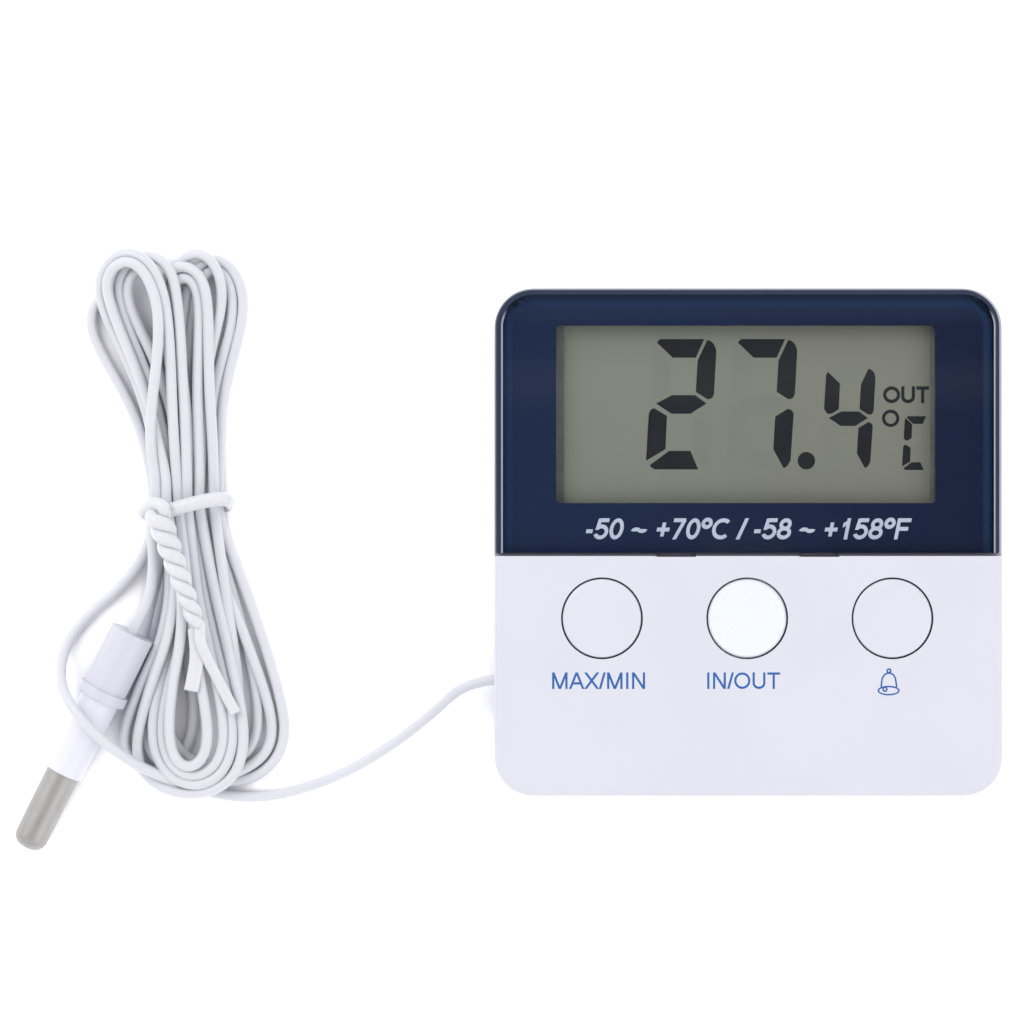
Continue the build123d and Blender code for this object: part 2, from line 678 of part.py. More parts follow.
def plate_span(side):
    """X limits of the contact plate at one end of the tray."""
    outer = side * (TRAY_HALF - FIT)
    return sorted((outer, outer - side * PLATE_THICK))


def contact_plate(side):
    """Flat contact plate at one end of the tray, with a tab soldered to the board."""
    x0, x1 = plate_span(side)
    y0, y1 = CELL_Y - PLATE_HALF, CELL_Y + PLATE_HALF
    plate = block(x0, x1, y0, y1, CELL_Z - PLATE_HALF, CELL_Z + PLATE_HALF)
    return plate + block(x0, x1, y1 - OVERLAP, SOLDER_TAB_Y, *SOLDER_TAB_Z)


def battery_spring():
    """Coil spring that presses on the cell's flat end."""
    start = -TRAY_HALF + FIT + PLATE_THICK + SPRING_WIRE_R
    length = cell_start() - SPRING_WIRE_R - start
    coil = Helix(pitch=length / SPRING_TURNS, height=length, radius=SPRING_R)
    wire = sweep(Plane(origin=coil @ 0, z_dir=coil % 0) * Circle(SPRING_WIRE_R), path=coil)
    return Pos(start, CELL_Y, CELL_Z) * Rot(0, 90, 0) * wire


# ---------------------------------------------------------------- cord

def bend_radii(points):
    """The largest bend at each corner that its two runs leave room for."""
    runs = [points[i + 1] - points[i] for i in range(len(points) - 1)]
    radii = []
    for before, after in zip(runs, runs[1:]):
        turn = radians(before.get_angle(after))
        radii.append(BEND_SHARE * min(before.length, after.length) / tan(turn / 2))
    return radii


def tube(route, radius, name):
    """A round tube along straight runs joined by tangent bends."""
    points = [Vector(*point) for point in route]
    radii = bend_radii(points)
    path = FilletPolyline(*points, radius=radii)
    body = sweep(Plane(origin=path @ 0, z_dir=path % 0) * Circle(radius), path=path)
    print(name, "bend radii", [round(r, 1) for r in radii], "length", round(path.length, 1),
          "volume", round(body.volume, 2), "section x length", round(pi * radius ** 2 * path.length, 2))
    return body


def cord_stop():
    """Crimped bead that stops the cord from pulling out through the wall."""
    x1 = LEAD_ROUTE[0][0]
    return fillet(rod_x(x1, x1 + STOP_LONG, EXIT_Y, PART_Z, STOP_R).edges(), STOP_ROUND)


def sensor_wire(index):
    """Route of one core of the cord, from the stop's side to its pad on the board's back."""
    start = LEAD_ROUTE[0][0] + WIRE_START + WIRE_STEP * index
    pad_x, pad_y = WIRE_PADS[index]
    beside_stop = EXIT_Y + STOP_R + HAIR
    sidestep, low_rise, high_rise = WIRE_TURN
    return (
        (start, beside_stop, PART_Z),
        (start + sidestep, pad_y - sidestep, PART_Z + low_rise),
        (pad_x, pad_y, PART_Z + high_rise),
        (pad_x, pad_y, BOARD_LOW),
    )


def loop_fan(loops, x0, x1, y0, y1):
    """Outline of a fan of cord loops that all run to the waist."""
    fan = Sketch()
    for x, y, radius in loops:
        waist = Pos((x0 + x1) / 2, (y0 + y1) / 2) * Rectangle(x1 - x0, y1 - y0)
        ends = Pos(x, y) * Circle(radius)
        fan += make_hull(waist.edges() + ends.edges())
    return fan


def cord_hank():
    """Outer shape of the tied hank: two fans of loops and the waist between them."""
    upper = extrude(loop_fan(UPPER_LOOPS, *UPPER_ROOT), amount=HANK_HIGH)
    lower = extrude(loop_fan(LOWER_LOOPS, *LOWER_ROOT), amount=HANK_HIGH)
    return upper + lower + block(*WAIST, *WAIST_Z)


def bar_between(start, end, section):
    """A straight bar of a given section between two points."""
    start, end = Vector(*start), Vector(*end)
    along = end - start
    flat = Plane(origin=start, x_dir=along.cross(Vector(0, 0, 1)), z_dir=along)
    return extrude(flat * section, amount=along.length)


def wire_tie():
    """Plastic-coated wire tie: a band round the waist, twisted together, with two loose ends."""
    x0, x1, _, _ = WAIST
    z0, z1 = WAIST_Z
    band = block(x0 - TIE_THICK, x1 + TIE_THICK, *TIE_Y, z0 - TIE_THICK, z1 + TIE_THICK)
    band -= block(x0, x1, TIE_Y[0] - CUT, TIE_Y[1] + CUT, z0, z1)
    start, end, radius = TIE_TWIST
    tie = band + bar_between(start, end, Circle(radius))
    root = Vector(*start) + (Vector(*end) - Vector(*start)) * TIE_ROOT
    for tip, wide in TIE_ENDS:
        tie += bar_between(tuple(root), tip, Rectangle(wide, TIE_END_THICK))
    return tie


# ---------------------------------------------------------------- probe

def probe_plane():
    """Plane at the probe's cord end, facing along it; tilted to rest on its collar and tip."""
    collar_along = CAP_LONG + COLLAR_LONG / 2
    tip_along = PROBE_LONG - TIP_R
    drop = (COLLAR_R - TIP_R) / (tip_along - collar_along)
    origin = (PROBE_TOP[0], PROBE_TOP[1], COLLAR_R + drop * collar_along + TOUCH)
    return Plane(origin=origin, z_dir=(*PROBE_HEADING, -drop))


def turned(z0, z1, radius):
    """A round length of the probe between two distances from its cord end."""
    return probe_plane() * Pos(0, 0, (z0 + z1) / 2) * Cylinder(radius, z1 - z0)


def probe_cap():
    """White cap that the cord enters, with its collar ring."""
    collar_end = CAP_LONG + COLLAR_LONG
    cap = turned(0, collar_end, CAP_END_R) + turned(CAP_LONG, collar_end, COLLAR_R)
    cap -= turned(-CUT, CORD_HOLE_DEEP, CORD_HOLE_R)
    return cap - turned(SPIGOT_START - SPIGOT_SPARE, collar_end + CUT, SPIGOT_R + HAIR)


def probe_sleeve():
    """White sleeve between the cap and the metal tip, with a spigot inside the cap."""
    start = CAP_LONG + COLLAR_LONG
    sleeve = turned(start, SLEEVE_END, SLEEVE_R) + turned(SPIGOT_START, start + CUT, SPIGOT_R)
    sleeve -= turned(SLEEVE_END - TIP_BURIED, SLEEVE_END + CUT, TIP_BURIED_R)
    return sleeve - turned(0, SLEEVE_END, CORE_R)


def probe_tip():
    """Thin polished metal tube with a domed end."""
    start = SLEEVE_END - TIP_BURIED
    can = turned(SLEEVE_END, PROBE_LONG, TIP_R)
    rims = can.edges().filter_by(GeomType.CIRCLE)
    can = fillet(rims.sort_by(lambda rim: rim.arc_center.X)[0], TIP_ROUND)
    can += turned(start, SLEEVE_END + OVERLAP, TIP_BURIED_R)
    return can - turned(start - CUT, PROBE_LONG - TIP_FLOOR, TIP_BURIED_R - TIP_WALL)


def thermistor_bead():
    """Glass thermistor bead near the end of the tip."""
    return probe_plane() * Pos(0, 0, BEAD_ALONG) * Sphere(BEAD_R)


def probe_potting():
    """Epoxy that fills the tip round the bead and its leads."""
    start = SLEEVE_END - TIP_BURIED + POTTING_GAP
    fill = turned(start, PROBE_LONG - TIP_FLOOR, TIP_BURIED_R - TIP_WALL)
    return fill - thermistor_bead()


def tail_route():
    """The cord's last stretch, from the hank's waist into the probe's cap."""
    cap_end = probe_plane()
    before = cap_end.origin - cap_end.z_dir * TAIL_STRAIGHT
    seat = cap_end.origin + cap_end.z_dir * CORD_HOLE_DEEP
    return (TAIL_START, TAIL_BEND, tuple(before), tuple(seat))


def all_parts():
    """Every node's name and shape."""
    parts = {
        "front_shell": front_shell(),
        "rear_shell": rear_shell(),
        "case_screws": case_screws(),
        "battery_door": battery_door(),
        "stand_leg": stand_leg(),
        "stand_pin": stand_pin(),
        "window_lens": window_lens(),
        "window_print": window_print(),
        "display_gasket": display_gasket(),
        "display_front_polariser": display_sheet(
            GLASS_TOP, GLASS_TOP + POLARISER_THICK, POLARISER_INSET, CONTACT_LEDGE),
        "display_front_glass": display_sheet(GLASS_MID, GLASS_TOP, 0, 0),
        "display_rear_glass": display_sheet(GLASS_LOW, GLASS_MID, 0, CONTACT_LEDGE),
        "display_reflector": display_sheet(REFLECTOR_LOW, GLASS_LOW, 0, CONTACT_LEDGE),
        "display_holder": display_holder(),
        "rubber_contact_strip": rubber_contact_strip(),
        "circuit_board": circuit_board(),
        "board_screws": board_screws(),
        "controller_blob": controller_blob(),
        "clock_crystal": clock_crystal(),
        "chip_capacitors": chip_capacitors(),
        "room_thermistor": room_thermistor(),
        "sounder_disc": sounder_disc(),
        "sounder_ceramic": sounder_ceramic(),
        "battery_cell": battery_cell(),
        "battery_spring": battery_spring(),
        "contact_plate_negative": contact_plate(-1),
        "contact_plate_positive": contact_plate(1),
        "cord_stop": cord_stop(),
        "sensor_wire_a": tube(sensor_wire(0), WIRE_R, "sensor_wire_a"),
        "sensor_wire_b": tube(sensor_wire(1), WIRE_R, "sensor_wire_b"),
        "cord_lead": tube(LEAD_ROUTE, CORD_R, "cord_lead"),
        "cord_hank": cord_hank(),
        "cord_tail": tube(tail_route(), CORD_R, "cord_tail"),
        "wire_tie": wire_tie(),
        "probe_cap": probe_cap(),
        "probe_sleeve": probe_sleeve(),
        "probe_tip": probe_tip(),
        "thermistor_bead": thermistor_bead(),
        "probe_potting": probe_potting(),
    }
    for name, x in button_places():
        parts["button_" + name] = button_cap(x)
        parts["switch_housing_" + name] = switch_housing(x)
        parts["switch_plunger_" + name] = switch_plunger(x)
        parts["switch_dome_" + name] = switch_dome(x)
    return parts


def main():
    os.makedirs("parts", exist_ok=True)
    for name, shape in all_parts().items():
        shape.label = name
        export_step(shape, "parts/" + name + ".step")


main()
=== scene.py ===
"""Looks of a maximum / minimum thermometer with a wired probe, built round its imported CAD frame."""

import math

import bpy
import numpy as np
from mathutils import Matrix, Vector


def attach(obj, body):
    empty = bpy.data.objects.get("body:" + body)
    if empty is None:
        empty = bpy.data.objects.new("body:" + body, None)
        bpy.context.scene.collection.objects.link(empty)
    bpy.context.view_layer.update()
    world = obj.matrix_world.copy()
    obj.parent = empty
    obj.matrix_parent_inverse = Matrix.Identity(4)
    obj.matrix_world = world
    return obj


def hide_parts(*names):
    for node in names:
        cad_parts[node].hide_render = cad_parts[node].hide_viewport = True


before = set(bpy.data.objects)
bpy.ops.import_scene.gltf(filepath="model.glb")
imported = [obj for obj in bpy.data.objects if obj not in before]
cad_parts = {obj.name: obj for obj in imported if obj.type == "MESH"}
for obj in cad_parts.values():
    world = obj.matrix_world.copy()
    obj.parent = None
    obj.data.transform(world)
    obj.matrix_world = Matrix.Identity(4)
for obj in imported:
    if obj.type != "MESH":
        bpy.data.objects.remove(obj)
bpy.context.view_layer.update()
MM = 0.001


# ---- the cord's route

CORD_R = 0.65               # millimetres, as every route below
LEAD = (
    (-28.4, -16.6, 4.0), (-33.2, -16.7, 3.9), (-37.6, -20.9, 1.4), (-43.2, -25.3, 0.66),
    (-50.0, -29.0, 0.66), (-58.6, -31.3, 0.66), (-66.4, -29.9, 0.9), (-72.0, -27.4, 3.4),
    (-76.2, -24.4, 6.9), (-80.2, -20.6, 7.0), (-82.7, -16.8, 3.9), (-82.2, -12.2, 1.0),
    (-79.3, -8.6, 0.7), (-75.9, -5.6, 0.7), (-73.4, -2.4, 0.9), (-72.0, 1.2, 1.1),
)
TAIL = (
    (-71.2, 1.4, 4.5), (-71.1, -1.8, 3.9), (-71.3, -5.2, 3.6), (-72.334, -8.394, 3.682),
    (-74.353, -12.408, 3.432),
)
# Each turn goes up through the tie, round a top loop, down through the tie and round a bottom loop: its
# (x, z) at the tie on the way up and on the way down, then the points of its two loops.
TURNS = (
    ((-71, 0.7), (-69.8, 0.66), (
      (-71.7, 11, 0.7), (-72.8, 14.4, 0.7), (-74.5, 17.8, 0.7), (-76.4, 21, 0.7), (-78, 23.8, 0.7),
      (-78.9, 26.4, 0.7), (-78.4, 28.8, 0.7), (-76.6, 29.9, 0.7), (-74.6, 29.2, 0.7), (-73, 26.8, 0.7),
      (-72, 22, 0.7), (-70.8, 14.8, 0.7),
    ), (
      (-69.2, -2, 0.7), (-68.4, -8, 0.7), (-67.4, -14, 0.7), (-66.5, -19, 0.7), (-66.5, -23, 0.7),
      (-67.7, -26, 0.7), (-69.7, -26.8, 0.7), (-71.4, -25, 0.7), (-71.9, -21, 0.7), (-71.3, -14.5, 0.7),
      (-69.8, -7.5, 0.7), (-68.8, -1.5, 0.7),
    )),
    ((-68.7, 0.66), (-63.6, 0.66), (
      (-68.9, 13, 0.7), (-68.7, 20, 0.7), (-68.1, 26, 0.7), (-67.3, 30.4, 0.8), (-66.3, 32.8, 0.9),
      (-64.7, 34.1, 1), (-62.8, 33.6, 1), (-61.4, 31.8, 0.9), (-60.8, 29.3, 0.8), (-61, 26.6, 0.7),
      (-61.8, 23.4, 0.7), (-62.8, 19.8, 0.7), (-63.5, 16, 0.7), (-63.6, 12, 0.7),
    ), (
      (-62.5, 0.9, 0.7), (-61.5, -2.2, 0.7), (-60.1, -6, 0.7), (-58.6, -10.4, 0.7), (-57.1, -15.2, 0.7),
      (-55.9, -19.6, 0.7), (-55.4, -23.2, 0.7), (-56.3, -26.2, 0.7), (-58.6, -28.4, 0.7), (-62, -29.3, 0.7),
      (-65.8, -28.8, 0.7), (-69.2, -26.4, 0.7), (-71.3, -22, 0.7), (-71.7, -15.5, 0.7), (-70.4, -8.5, 0.7),
      (-68.6, -2, 0.7),
    )),
    ((-67.8, 0.66), (-64.6, 0.66), (
      (-67.9, 13, 0.7), (-67.8, 20, 0.7), (-67.5, 26, 0.9), (-66.9, 30, 1.3), (-66.2, 31.7, 1.7),
      (-65.2, 32.9, 2), (-63.8, 33.1, 2), (-62.6, 32, 1.9), (-61.9, 29.6, 1.8), (-62.1, 26, 1.6),
      (-62.9, 23, 1.4), (-63.8, 19.6, 1.2), (-64.4, 16, 1), (-64.5, 12, 0.8),
    ), (
      (-63.6, 0.2, 0.7), (-62.4, -4.4, 0.7), (-60.9, -9.6, 0.7), (-59.6, -15, 0.7), (-58.9, -20, 0.7),
      (-59.4, -24.4, 0.8), (-61.8, -27.2, 1), (-65.4, -28.2, 1.4), (-69.2, -26.6, 1.7), (-71.8, -21.4, 1.8),
      (-71.9, -14.8, 1.8), (-70.2, -7.6, 1.4), (-68, -1.6, 0.9),
    )),
    ((-66.8, 0.66), (-65.2, 1.8), (
      (-67, 13, 0.8), (-67.7, 19, 1), (-68.6, 25, 1.2), (-69.1, 29.4, 1.7), (-68.7, 32.6, 2.4),
      (-67.3, 34.3, 2.9), (-65.5, 34.5, 3.1), (-64, 33.4, 3.1), (-63.1, 31.4, 3), (-62.9, 28.8, 2.9),
      (-63.4, 26, 2.7), (-64.2, 22.6, 2.4), (-64.8, 18.6, 2.1), (-65, 13, 2),
    ), (
      (-64.2, 0, 1.8), (-62.9, -4, 1.8), (-61.1, -9, 1.7), (-59.5, -14, 1.4), (-58, -18.6, 1),
      (-57.2, -22.2, 0.8), (-57.7, -25.2, 0.8), (-60, -27.2, 1.2), (-63.4, -28.3, 1.8), (-67.2, -27.9, 1.9),
      (-70.6, -25, 1.3), (-72.5, -20, 0.8), (-72.6, -13.5, 0.7), (-71.2, -7, 1.2), (-69.9, -1.4, 1.7),
    )),
    ((-69.5, 1.8), (-64.1, 1.8), (
      (-69.9, 13, 1.8), (-70.2, 19, 1.9), (-70.3, 25, 2.1), (-70, 29.4, 2.3), (-69.2, 32, 2.5),
      (-67.9, 33.2, 2.6), (-66.4, 32.9, 2.8), (-65.3, 31.3, 2.9), (-64.9, 28.4, 2.9), (-64.8, 24, 2.8),
      (-64.7, 18.5, 2.6), (-64.3, 12.5, 2.2),
    ), (
      (-63.4, -1, 1.9), (-62.7, -6, 2), (-61.9, -11.5, 2), (-61.1, -17, 2), (-61, -22.2, 2),
      (-62.4, -26.4, 2.2), (-65.6, -28.8, 2), (-69.6, -29, 1.2), (-73, -27.8, 0.8), (-74.8, -25.6, 0.8),
      (-74.4, -22.4, 1.4), (-73, -18.6, 2.4), (-71.4, -15, 3.4), (-69.8, -11.4, 3.8), (-69, -6.6, 3.4),
      (-69.2, -1.4, 2.6),
    )),
    ((-68.6, 1.8), (-65.8, 3), (
      (-68.9, 13, 1.9), (-69.1, 19, 2), (-69.4, 24.2, 2.3), (-69.7, 28, 2.6), (-69.5, 30.2, 2.8),
      (-68.8, 31.7, 2.9), (-67.6, 32.2, 3), (-66.4, 31.7, 3.1), (-65.7, 30.2, 3.1), (-65.5, 28, 3.2),
      (-65.7, 24.2, 3.2), (-66, 18.5, 3.2), (-65.9, 12, 3.1),
    ), (
      (-65, 0.2, 3), (-64, -4.6, 3), (-62.8, -9.6, 3), (-61.6, -14.8, 2.9), (-60.5, -20, 2.8),
      (-60.2, -24.4, 2.8), (-61.4, -27.8, 2.7), (-64.2, -29.6, 2.4), (-67.8, -30, 1.6), (-71, -29, 0.9),
      (-73, -26.8, 0.8), (-73.2, -23.8, 1.2), (-72.2, -20, 2), (-70.8, -16, 3.2), (-69.3, -12.2, 4),
      (-68.3, -7.4, 3.8), (-68.3, -1.6, 3),
    )),
    ((-67.7, 1.8), (-66.8, 3), (
      (-68.3, 10, 1.9), (-69.1, 14.6, 2), (-70.3, 19, 2), (-71.8, 22.8, 2), (-73.4, 26, 2), (-74.6, 29, 2.1),
      (-74.5, 31.3, 2.3), (-73.4, 32.9, 2.5), (-71.8, 33, 2.7), (-70.4, 31.5, 2.9), (-69.4, 28.6, 3),
      (-68.4, 24.6, 3.1), (-67.4, 19, 3.1), (-67, 13, 3.1),
    ), (
      (-66, -1, 3.1), (-65.2, -6, 3.2), (-64.1, -11, 3.2), (-62.9, -16, 3.2), (-61.9, -20.6, 3.2),
      (-61.7, -24.6, 3.2), (-62.9, -27.8, 3.1), (-65.4, -29.3, 2.9), (-68.4, -28.8, 2.4), (-70.6, -26.6, 2),
      (-71.3, -23, 2), (-70.7, -18.4, 2.2), (-69.3, -13.6, 2.6), (-68, -8.6, 2.8), (-67.8, -2.6, 2.6),
    )),
    ((-69.1, 3), (-67.7, 4), (
      (-69.6, 10.6, 2.9), (-70.4, 15.2, 2.8), (-71.7, 19.6, 2.8), (-73.3, 23.6, 2.8), (-74.9, 27.4, 2.8),
      (-75.7, 30.8, 2.9), (-74.7, 33.3, 3.2), (-72.6, 34.5, 3.5), (-70.5, 34.1, 3.8), (-69.1, 32.3, 4),
      (-68.6, 29.4, 4), (-68.3, 25, 4), (-68.1, 19, 4), (-67.9, 13, 4),
    ), (
      (-67, -1.4, 4), (-66.3, -6.4, 4.1), (-65.2, -11.4, 4.2), (-64, -16.6, 4.2), (-63.1, -21, 4.2),
      (-62.9, -24.8, 4.2), (-64, -27.6, 4.1), (-66.2, -28.9, 3.9), (-68.6, -28.2, 3.7), (-70.2, -25.8, 3.5),
      (-70.5, -22.2, 3.4), (-69.7, -18, 3.6), (-68.4, -13.6, 4), (-67.3, -8.6, 4), (-67.4, -2.6, 3.6),
    )),
    ((-70.2, 3), (-68.6, 4), (
      (-70.9, 11.4, 2.9), (-71.9, 15.8, 2.9), (-73.4, 19.8, 2.9), (-75.2, 23.6, 3), (-77, 27.2, 3.1),
      (-77.9, 30.4, 3.3), (-77.2, 33, 3.6), (-75.3, 34.8, 4), (-73, 34.6, 4.5), (-71.2, 32.9, 4.8),
      (-70.1, 30.2, 5), (-69.5, 26.6, 5), (-69.2, 21, 5), (-69, 14, 4.8),
    ), (
      (-68, -2.2, 4.6), (-67.6, -7.2, 4.8), (-66.9, -12, 5), (-66, -16.6, 5.2), (-65.2, -20.2, 5.3),
      (-64.8, -23.4, 5.3), (-65.1, -25.7, 5.2), (-66.2, -27.2, 5.1), (-67.7, -27.2, 5), (-68.8, -25.6, 4.9),
      (-69.1, -22.4, 4.8), (-68.5, -17.6, 4.9), (-67.4, -12.4, 5), (-67.1, -7, 4.8), (-68, -2, 4.6),
    )),
    ((-69.3, 4.2), (-70.5, 4.4), (
      (-70.3, 11.6, 4.2), (-71.4, 16, 4.2), (-72.9, 20, 4.2), (-74.6, 24, 4.3), (-76.1, 27.8, 4.4),
      (-76.9, 30.8, 4.6), (-76.2, 32.9, 5), (-74.5, 33.9, 5.4), (-72.7, 33.2, 5.8), (-71.3, 31.2, 6.1),
      (-70.4, 28.4, 6.2), (-70.2, 25, 6.2), (-70.5, 21, 6.1), (-71, 16.4, 5.8), (-71.2, 11.6, 5.3),
    ), ()),
)
TIE_SPAN = (7.4, 4.4)       # where every strand is held side by side, down the hank
TIE_LIFT = 0.55             # the tie's ribbon passes under the strands
TIE_INSIDE = (-71.35, -63.2)    # the strands stay within the tie's two sides
TIE_REACH = 8.0             # below this height up the hank the strands lie on the tie
HANK_SIDE = -60.0           # the tied strands are on this side of the case
LOOSE_HOLD = 0.25           # how firmly a loose turn's points keep their places; 1 elsewhere
STRAND = 1.24               # how near two strands' centres may lie: the soft cord gives a little
OWN_REACH = 3.4             # along one strand, nearer than this isn't another strand
NEAR = 3.0                  # strands nearer than this may meet before the next look
PER_RUN = 4                 # samples for each of the spline's pieces
# The probe: where its cord end is, its axis, and each stretch's start, end and radius.
PROBE_TOP, PROBE_AXIS = (-73.68, -11.07, 3.516), (-0.4485, -0.892, -0.0555)
PROBE_SHAPE = ((0.0, 8.8, 2.75), (7.4, 9.0, 3.1), (8.8, 18.9, 2.45), (18.9, 28.6, 2.05))
PROBE_MARGIN = 0.3          # each stretch counts this much past its ends
PROBE_FREE = 3 * PER_RUN    # the last samples run into the probe
SETTLE_STEPS, LOOK_EVERY = 260, 8
CALM_SHARE = 0.85           # after this share of the steps the strands are only pushed apart
PUSH, PULL, DROP = 1.6, 0.04, 0.015     # overdone pushes, the pull home across, the drop at each step
HEIGHT_PULL, HEIGHT_EVEN = 0.02, 0.04   # the pull home in height, and towards the neighbours' height
EVEN = 0.2                  # how strongly neighbouring points move together
REST_GAP = 0.01             # the cord lies this much clear of the floor


def hank_route():
    """The whole cord's control points in millimetres, and how firmly each keeps its place."""
    points, hold = [list(p) for p in LEAD], [1.0] * len(LEAD)
    for up, down, top, low in TURNS:
        for (x, z), run, span in ((up, top, TIE_SPAN[::-1]), (down, low, TIE_SPAN)):
            points += [(x, y, z + TIE_LIFT) for y in span]
            points += run
            hold += [1.0] * len(span) + [LOOSE_HOLD] * len(run)
    points += TAIL
    hold += [1.0] * len(TAIL)
    return np.array(points, float), np.array(hold)[:, None]


def basis(count):
    """The open quadratic spline, as a matrix from its control points to samples along it."""
    at = np.arange((count - 2) * PER_RUN) / PER_RUN
    first = at.astype(int)
    knot = [np.clip(first + i, 0, count - 2) for i in (-1, 0, 1, 2)]
    before = (knot[2] - at) ** 2 / ((knot[2] - knot[0]) * (knot[2] - knot[1]))
    after = (at - knot[1]) ** 2 / ((knot[3] - knot[1]) * (knot[2] - knot[1]))
    weight = np.zeros((len(at), count))
    rows = np.arange(len(at))
    weight[rows, first] = before
    weight[rows, first + 1] = 1 - before - after
    weight[rows, first + 2] = after
    return weight


def neighbours(line):
    """Pairs of samples on different strands that are near enough to meet soon."""
    along = np.concatenate(([0], np.cumsum(np.sqrt((np.diff(line, axis=0) ** 2).sum(1)))))
    far = np.sqrt(((line[:, None] - line[None]) ** 2).sum(2))
    return np.nonzero((far < NEAR) & (np.abs(along[:, None] - along[None]) > OWN_REACH))


def push_apart(line, one, other):
    """How far each sample has to move so that no two strands lie in each other."""
    gap = line[one] - line[other]
    far = np.sqrt((gap ** 2).sum(1))
    hit = far < STRAND
    one, gap, far = one[hit], gap[hit], np.maximum(far[hit], 1e-6)
    move = np.zeros_like(line)
    np.add.at(move, one, gap * ((STRAND - far) / 2 / far)[:, None])
    return move / np.maximum(np.bincount(one, minlength=len(line)), 1)[:, None]


def clear_probe(line):
    """How far each sample has to move to lie outside the probe."""
    top, axis = np.array(PROBE_TOP), np.array(PROBE_AXIS)
    move = np.zeros_like(line)
    depth = (line - top) @ axis
    out = line - top - depth[:, None] * axis
    far = np.sqrt((out ** 2).sum(1))
    for low, high, radius in PROBE_SHAPE:
        need = radius + CORD_R
        inside = (depth > low - PROBE_MARGIN) & (depth < high + PROBE_MARGIN) & (far < need)
        move[inside] = out[inside] / far[inside, None] * (need - far[inside])[:, None]
    return move


def settle(points, hold):
    """The loose turns find their own places: each keeps near its route, none lies in another."""
    weight = basis(len(points))
    total = weight.sum(0)[:, None]
    home, now = points.copy(), points.copy()
    fixed = np.zeros(len(points), bool)
    fixed[[0, 1, -2, -1]] = True
    tied = (home[:, 0] < HANK_SIDE) & (home[:, 1] > 0) & (home[:, 1] < TIE_REACH)
    lowest = CORD_R + REST_GAP + TIE_LIFT * tied
    for step in range(SETTLE_STEPS):
        line = weight @ now
        if step % LOOK_EVERY == 0:
            pairs = neighbours(line)
        move = push_apart(line, *pairs)
        probe = clear_probe(line)
        probe[-PROBE_FREE:] = 0
        now += PUSH * (weight.T @ (move + probe)) / total
        if step < SETTLE_STEPS * CALM_SHARE:
            now[:, :2] += PULL * (home - now)[:, :2] * hold
            now[:, 2] -= DROP
            now[:, 2:] += HEIGHT_PULL * (home - now)[:, 2:] * hold
            now[1:-1, 2] += HEIGHT_EVEN * ((now[2:] + now[:-2]) / 2 - now[1:-1])[:, 2]
        moved = now - home
        now[1:-1] += EVEN * ((moved[2:] + moved[:-2]) / 2 - moved[1:-1])
        now[:, 2] = np.maximum(now[:, 2], lowest)
        now[tied, 0] = np.clip(now[tied, 0], *TIE_INSIDE)
        now[fixed] = home[fixed]
    return now


# ---- materials

# Where a pair stands for a change that isn't sudden, it gives the places in metres where it starts and ends.
MICRON = 0.000001
STAIN = 0.65                # how far the broad stains alone move a colour; the grain adds GRAIN
GRAIN = 0.35
# Painted shade in narrow gaps: how far the occlusion looks, the shade's colour, and the occlusion over which
# the shade fades out.
CREASE_REACH, CREASE_SHADE_COLOUR, CREASE_SPAN = 0.0007, (0.36, 0.32, 0.42), (0.1, 0.7)
# The flat face of the window cover: its middle, half its width and its corner radius.
COVER_X, COVER_HALF, COVER_CORNER = -0.00005, 0.02917, 0.0038
# The opening over the display, its wall painted dark as shade: its middle, its half sizes and its depth.
OPENING_Y, OPENING_SHADE_COLOUR = 0.0151, (0.045, 0.05, 0.052)
OPENING_WIDE, OPENING_HIGH, OPENING_TOP = (0.0234, 0.0236), (0.012, 0.0122), (0.01358, 0.01362)
# The rim under the cover, coloured dark navy like the cover's bevel: beyond the cover's edge, as far as the
# right side, above the buttons.
RIM_OUT, RIM_RIGHT, RIM_Z, RIM_Y = (0.0006, 0.00072), (0.0268, 0.0285), (0.013, 0.0132), (-0.0016, -0.0012)
RIM_COLOUR = (0.03, 0.042, 0.078)
# The cover's bevel: how level a face is to be flat, how well its ink covers and how much gloss it takes away.
BEVEL_LEVEL, BEVEL_COVERS, BEVEL_DULLS = (0.9, 0.99), 0.92, 0.85
BEVEL_COLOURS = ((0.022, 0.032, 0.062), RIM_COLOUR)
# A painted highlight, a glint along the bevel's arris: its place, half its width, how sideways it faces, how
# it covers.
GLINT_AT, GLINT_HALF, GLINT_SIDEWAYS, GLINT_COVERS = -0.00012, 0.00014, (0.8, 0.96), 0.8
PAINTED_GLINT_COLOUR = (0.42, 0.45, 0.53)
COVER_IOR, COVER_GLOSS, COVER_HAZE = 1.49, (0.045, 0.06), 900
# The print's lighter top and the line round its edge.
PRINT_TOP, PRINT_LINE_AT, PRINT_LINE_HALF = (0.0255, 0.0296), -0.0009, 0.0006


def node(tree, kind):
    """A new shader node."""
    return tree.nodes.new("ShaderNode" + kind)


def wire(source, target):
    """Links an output to an input."""
    source.id_data.links.new(source, target)


def shader(name):
    """A new node material: its node tree, its Principled shader and its object-space position."""
    made = bpy.data.materials.new(name)
    made.use_nodes = True
    tree = made.node_tree
    place = node(tree, "TexCoord").outputs["Object"]
    return made, tree, tree.nodes["Principled BSDF"], place


def noise(tree, place, scale, detail=4.0):
    """Soft noise with features about 1 / scale metres across."""
    made = node(tree, "TexNoise")
    made.inputs["Scale"].default_value = scale
    made.inputs["Detail"].default_value = detail
    wire(place, made.inputs["Vector"])
    return made.outputs["Fac"]


def between(tree, factor, low, high, start=0.35, end=0.65):
    """A number that goes from low to high as the factor goes from start to end."""
    made = node(tree, "MapRange")
    for socket, value in zip(("From Min", "From Max", "To Min", "To Max"), (start, end, low, high)):
        made.inputs[socket].default_value = value
    wire(factor, made.inputs["Value"])
    return made.outputs["Result"]


